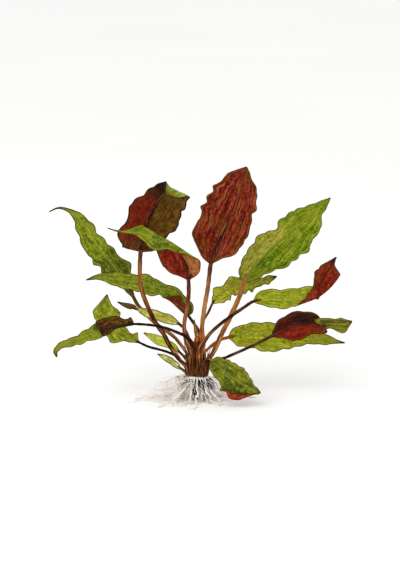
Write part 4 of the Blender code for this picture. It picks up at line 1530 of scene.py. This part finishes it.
@dataclass
class RootSystem:
    """Skirt of pale roots: main roots that fall beside the rootstock and spread, each with its side roots.

    Sizes are in mm. The heights are where the roots leave the crown.
    """

    rods: Rods
    count: int = 24
    first_seed: int = 401
    radius: float = 0.85
    tip_radius: float = 0.3
    height: float = 15.5
    tiers: tuple[float, ...] = (44.0, 19.0, 30.0)
    reach_spread: float = 4.0
    rings: int = 44
    sides: int = 8
    side_roots: int = 13
    side_lengths: tuple[float, float] = (4.0, 10.0)
    side_radius: float = 0.2
    threads: int = 8
    flat_heights: tuple[float, float] = (13.0, 18.0)
    steep_heights: tuple[float, float] = (3.0, 16.0)
    # Short near-black roots between the main ones, as painted shade in the gaps of the skirt
    shade_roots: int = 2
    shade_root_heights: tuple[float, float] = (15.2, 16.2)
    shade_root_lengths: tuple[float, float] = (7.0, 13.0)
    shade_root_radii: tuple[float, float] = (0.45, 0.65)
    thin_steps: int = 12
    thin_sides: int = 5

    def build(
        self, finish: Material, side_finish: Material, thread_finish: Material,
        shade_root_finish: Material,
    ) -> list[Object]:
        """Builds and dresses every root.

        Args:
            finish: Material of the main roots.
            side_finish: Material of their side roots.
            thread_finish: Material of the threads at the foot of the crown.
            shade_root_finish: Material of the short near-black roots between the main ones, which paint the shade in
                the gaps.

        Returns:
            The roots, one object each.
        """
        made = []
        for index in range(self.count):
            chance = random.Random(self.first_seed + index)
            centres, radii = self.path(index, chance)
            strands = [self.strand(centres, radii, self.sides)]
            strands += [self.side_root(centres, chance) for _ in range(self.side_roots)]
            strands += [self.thread(index, chance) for _ in range(self.threads)]
            # Near-black roots between the main ones, as painted shade
            strands += [self.shade_root(index, chance) for _ in range(self.shade_roots)]
            skins = [finish] + [side_finish] * self.side_roots + [thread_finish] * self.threads
            for strand, skin in zip(strands, skins + [shade_root_finish] * self.shade_roots):
                strand.data.materials.append(skin)
            select_only(*strands)
            bpy.ops.object.join()
            bpy.ops.object.shade_smooth_by_angle(angle=math.radians(70.0))
            root = strands[0]
            root.name = f"main_root_{index + 1:02d}"
            root.data.name = root.name
            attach(root, BODY)
            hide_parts(f"root_{index + 1:02d}")
            made.append(root)
        return made

    def outline(self, index: int) -> tuple[Vector, Vector, float, float]:
        """Directions out and beside, reach and sway of a root."""
        outward = compass(2 * math.pi * index / self.count)
        beside = Vector((-outward.y, outward.x, 0.0))
        tier = self.tiers[index % len(self.tiers)]
        reach = tier + self.reach_spread * math.sin(2.3 * index)
        sway = 0.1 * tier * math.sin(1.7 * index + 0.5)
        return outward, beside, reach, sway

    def path(self, index: int, chance: random.Random) -> tuple[np.ndarray, np.ndarray]:
        """Centre line and radii of a main root.

        Args:
            index: Number of the root.
            chance: Source of its small bends.

        Returns:
            Points and radii, in mm.
        """
        outward, beside, reach, sway = self.outline(index)
        start = crown_radius(self.height) + FOOT_GAP + self.radius
        share = np.linspace(0.0, 1.0, self.rings + 1)
        radius = self.radius + (self.tip_radius - self.radius) * share**0.8
        radius = radius * (1.0 + 0.12 * np.sin(share * 23.0 + index) * share)
        turn = np.pi / 2 * share**0.8
        out = start + (reach - start) * (0.72 * (1 - np.cos(turn)) + 0.28 * share)
        height = radius + (self.height - radius) * (1 - np.sin(turn))
        wiggle = np.zeros((3, len(share)))
        for axis in range(3):
            for beats in (2.2, 4.7, 8.5):
                phase = chance.uniform(0.0, 6.28)
                wiggle[axis] += 1.5 / beats * np.sin(beats * 2 * np.pi * share * reach / 44.0 + phase)
        wiggle *= np.minimum(1.0, share * 4.0)
        side = sway * share * share + wiggle[0]
        out = out + wiggle[1] * (1.0 - share)
        height = np.maximum(radius + 0.02, height + wiggle[2] * 0.5 * (1.0 - share))
        out = np.concatenate(((start - 2.6, start - 1.5, start - 0.6), out))
        height = np.concatenate((self.height + np.array((1.6, 1.4, 0.8)), height))
        side = np.concatenate((np.zeros(3), side))
        centres = np.outer(out, outward) + np.outer(side, beside)
        centres[:, 2] = height
        return centres, np.concatenate((np.full(3, self.radius), radius))

    def strand(self, centres: np.ndarray, radii: np.ndarray, sides: int) -> Object:
        """Bends one strand along a line.

        Args:
            centres: Points of the line, in mm.
            radii: Radius at each point, in mm.
            sides: Number of sides.

        Returns:
            The strand.
        """
        faces = carried(directions(centres), Vector((0.31, 0.17, 0.93)))
        return self.rods.bent(centres, radii, radii, faces, np.linspace(0.0, 1.0, len(centres)), sides)

    def side_root(self, centres: np.ndarray, chance: random.Random) -> Object:
        """Grows a hair-thin side root from a main root.

        Args:
            centres: Line of the main root, in mm.
            chance: Source of the side root's place and shape.

        Returns:
            The side root.
        """
        index = chance.randrange(4, len(centres) - 3)
        way = Vector(centres[index + 1] - centres[index - 1]).normalized()
        away = way.cross(UP).normalized() * chance.choice((-1.0, 1.0))
        heading = (way * chance.uniform(0.5, 1.1) + away * chance.uniform(0.5, 1.0)).normalized()
        heading.z -= 0.25
        length = chance.uniform(*self.side_lengths) * (1.0 - 0.5 * index / len(centres))
        return self.grown(Vector(centres[index]), heading, length, self.side_radius, chance)

    def thread(self, index: int, chance: random.Random) -> Object:
        """Hangs a thin root from the foot of the crown, flat and long on the left, or steep inside the main roots.

        Args:
            index: Number of the main root.
            chance: Source of the thread's place and shape.

        Returns:
            The thread.
        """
        outward = compass(2 * math.pi * (index + chance.uniform(-0.5, 0.5)) / self.count)
        left = max(0.0, -outward.x)
        flat = chance.random() < 0.3 + 0.35 * left
        height = chance.uniform(*(self.flat_heights if flat else self.steep_heights))
        start = outward * (crown_radius(height) - 1.5) + UP * height
        beside = Vector((-outward.y, outward.x, 0.0)) * chance.uniform(-0.5, 0.5)
        if flat:
            heading = outward + beside + UP * chance.uniform(-0.3, 0.05)
            length = chance.uniform(0.7, 1.15) * (20.0 + 28.0 * left)
            return self.grown(start, heading.normalized(), length, chance.uniform(0.22, 0.34), chance, 0.05)
        heading = outward * (0.35 + 0.07 * height * chance.uniform(0.6, 1.1)) + beside - UP * 0.6
        length = chance.uniform(0.55, 0.9) * self.outline(index)[2]
        return self.grown(start, heading.normalized(), length, chance.uniform(0.2, 0.38), chance, 0.09)

    def shade_root(self, index: int, chance: random.Random) -> Object:
        """Hangs a short near-black root between two main roots, as painted shade in the gap between them.

        Args:
            index: Number of the main root beside it.
            chance: Source of its place and shape.

        Returns:
            The near-black root.
        """
        outward = compass(2 * math.pi * (index + chance.uniform(0.3, 0.7)) / self.count)
        height = chance.uniform(*self.shade_root_heights)
        start = outward * (crown_radius(height) + FOOT_GAP + 1.0) + UP * height
        heading = outward * chance.uniform(0.45, 0.7) - UP
        length = chance.uniform(*self.shade_root_lengths)
        return self.grown(start, heading.normalized(), length, chance.uniform(*self.shade_root_radii), chance)

    def grown(
        self, start: Vector, heading: Vector, length: float, radius: float, chance: random.Random, droop: float = 0.0
    ) -> Object:
        """Grows a thin root that bends over when it meets the surface.

        Args:
            start: Where it leaves its parent, in mm.
            heading: Direction in which it starts.
            length: Its length, in mm.
            radius: Its radius at the start, in mm.
            chance: Source of its bends.
            droop: How much it bends down at each step.

        Returns:
            The thin root.
        """
        steps = self.thin_steps
        spot, way = start.copy(), heading.copy()
        centres = [tuple(spot)]
        for step in range(steps):
            bend = Vector((chance.uniform(-1, 1), chance.uniform(-1, 1), chance.uniform(-0.6, 0.5)))
            way = (way + bend * 0.3 - UP * droop).normalized()
            spot = spot + way * (length / steps)
            floor = radius * (1.0 - 0.6 * step / steps) + 0.03
            if spot.z < floor:
                spot.z = floor
                way.z = abs(way.z) * 0.1
                way.normalize()
            centres.append(tuple(spot))
        radii = radius * np.linspace(1.0, 0.4, steps + 1)
        return self.strand(np.array(centres), radii, self.thin_sides)


@dataclass
class Studio:
    """Plain pale floor, soft light, and the camera where the photograph was taken from. Sizes in metres."""

    floor_size: float = 30.0
    sky: float = 1.0
    lens: float = 200.0
    film: float = 36.0
    distance: float = 2.375
    aim: tuple[float, float] = (2.25, 84.75)
    lamp_place: tuple[float, float, float] = (-0.8, -1.6, 1.6)
    lamp_aim: tuple[float, float, float] = (0.8, 1.6, -1.55)
    lamp_size: float = 1.8
    lamp_watts: float = 20.0

    def build(self) -> None:
        """Builds the floor, the lights and the camera."""
        self.floor()
        self.light()
        self.camera()
        bpy.context.scene.view_settings.view_transform = "Standard"

    def floor(self) -> None:
        """Lays the floor under the plant."""
        bpy.ops.object.select_all(action="DESELECT")
        bpy.ops.mesh.primitive_plane_add(size=self.floor_size, location=(0.0, 0.0, -0.02 * MM))
        floor = bpy.context.object
        bpy.ops.object.transform_apply(location=True)
        floor.name = "floor"
        material, tree, shader = blank_material("matt white floor", 0.9, 0.1)
        body = add(tree, "TexCoord").outputs["Object"]
        faint = add(tree, "TexNoise", {"Vector": body, "Scale": 3.0, "Detail": 2.0})
        colour = ramp(tree, faint, ((0.3, "#f6f6f5"), (0.7, "#f8f8f7")))
        tree.links.new(outlet(colour), shader.inputs["Base Color"])
        floor.data.materials.append(material)

    def light(self) -> None:
        """Hangs one large soft lamp to the upper left in an evenly lit white room."""
        world = bpy.data.worlds.new("white room")
        bpy.context.scene.world = world
        world.use_nodes = True
        back = world.node_tree.nodes["Background"]
        back.inputs["Color"].default_value = (1.0, 1.0, 1.0, 1.0)
        back.inputs["Strength"].default_value = self.sky
        bpy.ops.object.light_add(type="AREA", location=self.lamp_place)
        lamp = bpy.context.object
        lamp.name = "soft lamp"
        lamp.data.shape = "DISK"
        lamp.data.size = self.lamp_size
        lamp.data.energy = self.lamp_watts
        lamp.rotation_euler = Vector(self.lamp_aim).to_track_quat("-Z", "Y").to_euler()

    def camera(self) -> None:
        """Sets the camera at the photograph's viewing angle."""
        eye = bpy.data.cameras.new("camera")
        eye.lens = self.lens
        eye.sensor_width = self.film
        eye.clip_start = 0.1
        eye.clip_end = 60.0
        holder = bpy.data.objects.new("camera", eye)
        bpy.context.scene.collection.objects.link(holder)
        across, up = self.aim
        target = Vector(laid_out(across, up, 0.0)) * MM
        holder.location = target + TO_VIEWER * self.distance
        holder.rotation_euler = (math.pi / 2 - LAYOUT_TILT, 0.0, 0.0)
        bpy.context.scene.camera = holder


GREEN = LeafFace(
    "green leaf, upper side", "#4c5e02", "#707f06", "#9aa41c", vein="#3c4a02", vein_weight=0.5, pale="#c4c04e",
    pale_weight=0.4, margin="#aca42c", margin_weight=0.6, tip="#5e420c",
)
RED = LeafFace(
    "red leaf, underside", "#480600", "#700f01", "#96401a", vein="#2a0200", vein_weight=0.6, pale="#b8664a",
    pale_weight=0.3, margin="#6c4408", margin_weight=0.6, tip="#240500", midrib="#340604", midrib_weight=0.5,
    outline="#240500", patch="#5a3404", patch_weight=0.4,
)
BROWN = RED.toned(
    "brown leaf, underside", "#341800", "#503004", "#786018", vein="#220e00", pale="#8e7630", margin="#6e5c10",
    patch="#5a1a04",
)
TALL_RED = RED.toned(
    "tall red leaf, underside", "#500500", "#700d01", "#923c16", vein="#260100", vein_weight=0.9, pale="#bc7450",
    pale_weight=0.42, stretch=2.4, margin="#74580c", midrib="#480a06", midrib_weight=0.6, tip="#6a3c08", veins=4.5,
    streak=0.65, strands=4.0, patch="#6e4408", patch_weight=0.35, margin_weight=0.85,
)
EDGE = LeafRim()

TAN_STALK = StalkFinish(
    "tan leaf stalk",
    ((0.0, "#8a4c1a"), (0.35, "#905422"), (0.7, "#9c6430"), (0.95, "#a07036"), (1.2, "#86662a"), (2.0, "#7a7430")),
    streak="#4c2408",
)
OLIVE_STALK = StalkFinish(
    "olive-tan leaf stalk",
    ((0.0, "#8a5428"), (0.5, "#8a6c3a"), (0.85, "#5c5a22"), (1.1, "#6f7a28"), (2.0, "#8a9440")),
)
BROWN_STALK = StalkFinish(
    "red-brown leaf stalk",
    ((0.0, "#84481c"), (0.5, "#6e4424"), (0.95, "#46200e"), (1.3, "#5a3a14"), (2.0, "#5c4a1a")),
)
BLACK_STALK = StalkFinish(
    "nearly black leaf stalk",
    ((0.0, "#8a4e22"), (0.2, "#6a3416"), (0.34, "#180a06"), (0.9, "#120705"), (1.3, "#2c1c0c"), (2.0, "#5a4a1a")),
    streak="#0c0504", glow="#4a2c1c", crown_highlight="#945424",
)
CROWN_SKIN = CrownFinish()
SPEAR_SKIN = StalkFinish("young leaf skin", ((0.0, "#4a2a14"), (0.6, "#4e4218"), (1.0, "#5e6424"), (2.0, "#5e6424")))
SHEATH_SKIN = StalkFinish(
    "old leaf sheath", ((0.0, "#7a4820"), (0.4, "#96602e"), (0.8, "#a8703c"), (1.0, "#6a3a1c"), (2.0, "#6a3a1c"))
)

# Skins of the main roots, their side roots, the threads at the foot of the crown and the near-black roots that paint
# the shade between the main ones
ROOT_SKINS = (
    RootFinish(),
    RootFinish("side root skin", shade="#9a8672", light="#f6efe6", start_weight=0.4),
    # The threads' dark brown starts, close under the crown, are painted shade inside the skirt of roots
    RootFinish("thin root skin", shade="#8a7664", light="#f6eee6", start="#4a3426", start_end=0.12),
    RootFinish("near-black root skin for painted shade", shade="#080403", body="#140b08", light="#2e201a", start="#080403", clear=0.0),
)

DRESSES = {
    "leaf_far_left": LeafDress(
        GREEN.toned(
            "far left leaf, upper side", "#4e5e02", "#6c7a08", "#94a024", margin="#848018", midrib="#9aa040",
            midrib_weight=0.7, tip="#2e2004", tip_start=0.86, patch="#a4a832",
            tints=(Tint("#384602", "#5e6a0c", end=0.36),),
        ),
        BROWN,
        StalkFinish(
            "far left leaf's stalk",
            (
                (0.0, "#8a5428"), (0.5, "#9a6038"), (0.84, "#a0603a"), (0.93, "#5c4c1a"), (1.05, "#545a18"),
                (2.0, "#8a9440"),
            ),
        ),
        frill=Frill(8.0, 1.0, 0.2, 0.8),
        bulges_left=(
            (0.55, 0.09, 1.6), (0.49, 0.025, 0.8), (0.425, 0.018, -1.6), (0.38, 0.018, 1.4), (0.33, 0.018, -1.2),
            (0.26, 0.03, 2.2), (0.2, 0.02, -0.6),
        ),
        bulges_right=(
            (0.55, 0.04, -1.2), (0.44, 0.04, -0.6), (0.34, 0.03, -1.2), (0.2, 0.05, 4.0), (0.75, 0.08, 0.7),
        ),
    ),
    "leaf_top_left": LeafDress(
        GREEN.toned(
            "top left leaf, upper side", body="#7f9024", light="#8f9c3a", outline="#140a02", outline_weight=1.0,
            outline_width=0.6,
        ),
        RED.toned(
            "top left leaf, underside", "#442b00", "#5e400a", "#7a5a20", vein="#241000", pale="#6a4a24",
            # The near-black tip, from 0.8 of the blade on, is painted shade on the curled end
            pale_weight=0.2, midrib="#160602", midrib_weight=0.85, tip="#0a0302", tip_start=0.8, patch="#6a3406",
            outline="#120602", outline_weight=0.9, outline_width=0.4,
            tints=(
                # After the right half's own red, the dark brown and near-black tints from 0.56 and 0.66 on are
                # painted shade towards the curled end
                Tint("#520900", "#7e2006", Half.RIGHT), Tint("#160400", "#40200a", Half.RIGHT, start=0.56),
                Tint("#040101", "#0e0503", Half.RIGHT, start=0.66), Tint("#3c1c02", "#6a3c12", end=0.06),
            ),
        ),
        StalkFinish(
            "long leaf stalk, dark at the blade",
            (
                (0.0, "#3a1608"), (0.25, "#3c1606"), (0.5, "#341404"), (0.64, "#6a3812"), (0.85, "#8c5a2c"),
                (0.95, "#3a1c0e"), (1.02, "#180a06"), (2.0, "#1e0b06"),
            ),
        ),
        "leaf_red", Frill(6.5, 1.3, 0.1, 0.8), lobe=1.8,
        bulges_left=((0.44, 0.05, 2.6), (0.36, 0.04, 1.6), (0.3, 0.04, 0.8), (0.7, 0.08, 1.8)),
        bulges_right=(
            (0.38, 0.06, 3.0), (0.2, 0.05, 1.6), (0.11, 0.05, 1.4), (0.03, 0.03, -1.6), (0.5, 0.05, 1.2),
            (0.65, 0.09, 1.4),
        ),
    ),
    "leaf_folded_left": LeafDress(
        GREEN.toned("folded leaf, upper side", "#3c4c02", "#526404", "#74841c"),
        RED.toned(
            "folded leaf, underside", "#580500", "#7a0c02", "#92300f",
            tints=(Tint("#84440e", "#b4763a", Half.LEFT, start=0.02, end=0.2),),
        ),
        StalkFinish(
            "folded leaf's stalk",
            (
                (0.0, "#6a4426"), (0.35, "#96683c"), (0.6, "#8a5032"), (0.88, "#5a2014"), (1.0, "#380c0a"),
                (1.3, "#4c0a06"), (2.0, "#540c04"),
            ),
            glow="#c08058",
        ),
        "leaf_red", Frill(6.0, 1.0, 0.4, 0.8), lobe=0.6, midrib_end=0.355,
        fold=Fold((
            (6.3, 100.4), (3.3, 101.9), (-0.4, 103.7), (-4.2, 105.2), (-7.3, 107.2), (-11.9, 111.0), (-17.0, 114.7),
            (-22.2, 117.6), (-25.9, 119.5), (-29.7, 121.0), (-34.3, 123.6), (-38.0, 125.9), (-41.0, 127.8),
            (-46.2, 130.7), (-54.4, 134.9),
        )),
    ),
    "leaf_middle_left": LeafDress(
        GREEN.toned(
            "middle left leaf, upper side", "#4e5e02", "#68760a", "#8f962c",
            tints=(Tint("#161002", "#4a4c10", end=0.05),),
        ),
        BROWN.toned("middle left leaf, underside", "#4a0e00", "#641a04", "#7a3a18"),
        BROWN_STALK, frill=Frill(8.0, 0.8, 0.3, 0.7), lobe=2.6,
        bulges_left=((0.67, 0.12, 2.0),),
        fold=Fold((
            (-42.8, 76.0), (-35.3, 76.5), (-30.0, 76.7), (-25.4, 76.9), (-22.0, 75.5), (-18.8, 72.9), (-15.8, 70.1),
            (-12.1, 66.3), (-9.8, 64.3), (-6.8, 61.5),
        )),
    ),
    "leaf_top_red": LeafDress(
        TALL_RED.toned("tall red leaf, upper side", outline=GREEN.outline), TALL_RED,
        StalkFinish(
            "tall red leaf's stalk",
            (
                (0.0, "#84461e"), (0.25, "#9a5c30"), (0.6, "#ac7848"), (0.82, "#7e5034"), (0.97, "#40160c"),
                (1.35, "#2c0a0a"), (1.6, "#5c1a0c"), (2.0, "#84341a"),
            ),
        ),
        "leaf_red", Frill(9.0, 0.7, 0.0, 0.9),
        bulges_left=((0.08, 0.06, -3.4), (0.9, 0.06, -2.0), (0.56, 0.04, -1.4), (0.7, 0.03, -0.7), (0.45, 0.04, 0.6)),
        bulges_right=(
            (0.45, 0.06, 4.6), (0.58, 0.06, 4.6), (0.7, 0.06, 5.0), (0.84, 0.05, 2.2), (0.34, 0.03, -0.9),
            (0.17, 0.08, 2.2),
        ),
    ),
    "leaf_narrow_left": LeafDress(
        GREEN.toned("narrow leaf, upper side", "#9c9028", "#dcd65a", "#f4eea4", tip="#6a3a20", tip_start=0.8),
        BROWN.toned("narrow leaf, underside", "#5a3f22", "#735536"),
        BROWN_STALK, frill=Frill(5.0, 0.6, 0.1, 0.5),
        bulges_left=((0.55, 0.25, 1.8),),
        bulges_right=((0.3, 0.25, 0.6),),
    ),
    "leaf_small_left": LeafDress(
        GREEN.toned("small leaf, upper side", "#bcd410", "#dcee40", "#f4fc90", outline_weight=0.25),
        GREEN.toned("small leaf, underside", "#b0c814", "#cadc3c", "#e6f07c"),
        BROWN_STALK, frill=Frill(4.0, 0.4, 0.1, 0.4),
        bulges_left=((0.4, 0.25, 0.4),),
        bulges_right=((0.7, 0.25, 1.1),),
    ),
    "leaf_lowest_left": LeafDress(
        GREEN.toned("lowest left leaf, upper side", "#c4c054", "#f0ee90", "#fffdd0"),
        GREEN.toned("lowest left leaf, underside", "#b4b058", "#dad886", "#f2f0bc"),
        replace(
            OLIVE_STALK, name="lowest left leaf's stalk",
            stops=((0.0, "#4a4a12"), (0.4, "#6e7020"), (1.0, "#9a9a3c"), (2.0, "#b0b050")), foot="#3c3a10",
            crown_highlight="#8a8a34",
        ),
        frill=Frill(4.0, 0.5, 0.3, 0.5),
    ),
    "leaf_arched_left": LeafDress(
        GREEN.toned("arched leaf, upper side", "#566004", "#6c780c", "#8a9024"),
        BROWN.toned(
            "arched leaf, underside", "#2a1000", "#452404", "#665014", outline_width=0.3, midrib="#1a0f06",
            midrib_weight=0.9,
        ),
        BLACK_STALK, frill=Frill(7.0, 1.2, 0.3, 0.9), lobe=1.2, gather=Gather(0.385, 2.8, 3.6, 3.2),
        bulges_left=((0.72, 0.1, 0.8), (0.02, 0.02, 0.6)),
        bulges_right=((0.65, 0.1, -1.0),),
    ),
    "leaf_diamond_left": LeafDress(
        GREEN.toned("diamond leaf, upper side", "#5e6c02", "#7c880e", "#acb034", patch="#a8a82a"),
        GREEN.toned("diamond leaf, underside", "#66640a", "#868418", "#a89e36"),
        replace(BLACK_STALK, name="nearly black leaf stalk, dark to its foot", crown_highlight="#2c160c"),
        frill=Frill(6.0, 1.1, 0.6, 0.9),
        bulges_left=((0.36, 0.07, 2.4), (0.76, 0.06, 2.6), (0.64, 0.04, -1.2), (0.88, 0.04, 0.8)),
        bulges_right=((0.75, 0.1, 1.0), (0.1, 0.04, 3.0), (0.22, 0.05, -1.5)),
    ),
    "leaf_big_right": LeafDress(
        GREEN.toned(
            "big right leaf, upper side", "#405800", "#627a02", "#8a9c16", pale="#ccc850", pale_weight=0.42,
            margin="#9c9a28", tip="#6c7d0a", veins=3.5, streak=0.7, stretch=1.6, strands=4.0,
            tints=(Tint("#7a7c0c", "#bcb64a", Half.LEFT, start=0.02, end=0.5),),
        ),
        BROWN.toned("big right leaf, underside"),
        TAN_STALK, frill=Frill(10.0, 1.2, 0.1, 0.8),
        bulges_left=((0.47, 0.04, -3.4), (0.34, 0.05, 1.0), (0.05, 0.05, 1.2)),
        bulges_right=(
            (0.14, 0.1, 1.2), (0.33, 0.05, 2.8), (0.42, 0.04, 1.0), (0.545, 0.04, 3.6), (0.62, 0.03, -0.4),
            (0.75, 0.04, 1.4), (0.86, 0.05, -2.2),
        ),
    ),
    "leaf_behind_right": LeafDress(
        GREEN.toned("leaf behind, upper side", "#848e08", "#b4b826", "#dcdc58"),
        GREEN.toned("leaf behind, underside", "#6f780c", "#8c8c1e", "#b0aa3a"),
        BROWN_STALK, frill=Frill(8.0, 1.4, 0.2, 1.2),
        bulges_left=((0.27, 0.05, -3.6), (0.4, 0.05, 0.6), (0.08, 0.05, -1.6)),
        bulges_right=((0.07, 0.05, 2.0), (0.18, 0.06, 2.6), (0.28, 0.04, -0.9), (0.46, 0.06, 2.4), (0.82, 0.08, 2.2)),
    ),
    "leaf_turned_right": LeafDress(
        GREEN.toned("turned leaf, upper side", "#6a7202", "#848c0a", "#a8ae26"),
        RED.toned("turned leaf, underside", "#600500", "#780f02", "#8c3014"),
        StalkFinish(
            "turned leaf's stalk, tan below and black at the blade",
            (
                (0.0, "#8a5428"), (0.35, "#84522c"), (0.55, "#3c1c10"), (0.7, "#160a06"), (1.0, "#2c1408"),
                (1.15, "#6a1206"), (2.0, "#5a0c04"),
            ),
            glow_weight=0.15,
        ),
        frill=Frill(8.0, 1.0, 0.1, 0.8),
        bulges_right=((0.25, 0.15, 0.4),),
        fold=Fold((
            (66.2, 66.5), (69.3, 68.4), (72.3, 69.9), (75.5, 71.1), (80.0, 72.2), (84.5, 73.7), (88.1, 74.9),
            (91.6, 76.9), (95.1, 79.6), (98.6, 82.8), (101.8, 86.4), (104.6, 90.2), (107.0, 94.4), (109.0, 98.7),
        )),
    ),
    "leaf_low_right": LeafDress(
        GREEN.toned("low right leaf, upper side", "#6c6e02", "#969c10", "#c0c43a"),
        BROWN.toned("low right leaf, underside"),
        TAN_STALK, frill=Frill(9.0, 0.9, 0.5, 0.7),
        bulges_left=((0.85, 0.1, 1.3),),
        bulges_right=((0.08, 0.05, 1.2), (0.4, 0.22, 1.0), (0.85, 0.1, 1.3)),
    ),
    "leaf_red_right": LeafDress(
        GREEN.toned("right red leaf, upper side", "#3a3200", "#4a4204", "#605a14"),
        RED.toned(
            "right red leaf, underside", "#640400", "#7e0b02", "#863414", pale_weight=0.15, midrib="#6a0a04",
            midrib_weight=0.4,
            tints=(Tint("#2e0500", "#4a1206", Half.RIGHT), Tint("#120400", "#2e1204", Half.RIGHT, start=0.26)),
        ),
        StalkFinish(
            "right red leaf's stalk",
            (
                (0.0, "#8a4e22"), (0.2, "#6a3416"), (0.34, "#52341a"), (0.98, "#2e1c0c"), (1.12, "#4a100a"),
                (2.0, "#5e1a10"),
            ),
            streak="#140a06", glow="#7a5428", crown_highlight="#5e3c20",
        ),
        "leaf_red", Frill(6.0, 0.9, 0.2, 0.7), gather=Gather(0.62, 3.2, 7.5, 1.5),
        bulges_right=((0.4, 0.1, 0.6), (0.15, 0.06, 0.8)),
    ),
    "leaf_front_right": LeafDress(
        GREEN.toned("front right leaf, upper side", "#323e00", "#485404", "#687020"),
        RED.toned("front right leaf, underside", "#7e0c00", "#9c1c08", "#b8543c"),
        BROWN_STALK, frill=Frill(8.0, 0.7, 0.1, 0.7),
        bulges_left=((0.4, 0.2, 0.7), (0.88, 0.05, -1.4)),
        bulges_right=((0.66, 0.07, 4.6), (0.53, 0.08, 2.6), (0.84, 0.06, -2.0)),
    ),
}


def main() -> None:
    """Builds the plant and the studio round it."""
    logging.basicConfig(level=logging.INFO, format="%(message)s")
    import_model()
    rods = Rods()
    faces = [face for dress in DRESSES.values() for face in (dress.upper, dress.under, dress.stalk)]
    faces += [EDGE, CROWN_SKIN, *ROOT_SKINS, SPEAR_SKIN, SHEATH_SKIN]
    finishes = {face: face.dress() for face in dict.fromkeys(faces)}
    made = [CrownPiece().build(finishes[CROWN_SKIN])]
    OldSheaths(rods).build(finishes[SHEATH_SKIN], made[0])
    made.append(SpearPiece(rods).build(finishes[SPEAR_SKIN]))
    made += [LeafPiece(rods, shape, DRESSES[shape.node]).build(finishes) for shape in LEAVES]
    made += RootSystem(rods).build(*[finishes[skin] for skin in ROOT_SKINS])
    for piece in made:
        LOG.info("%s: %d faces", piece.name, len(piece.data.polygons))
    rods.clear()
    Studio().build()
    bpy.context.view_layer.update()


if __name__ == "__main__":
    main()
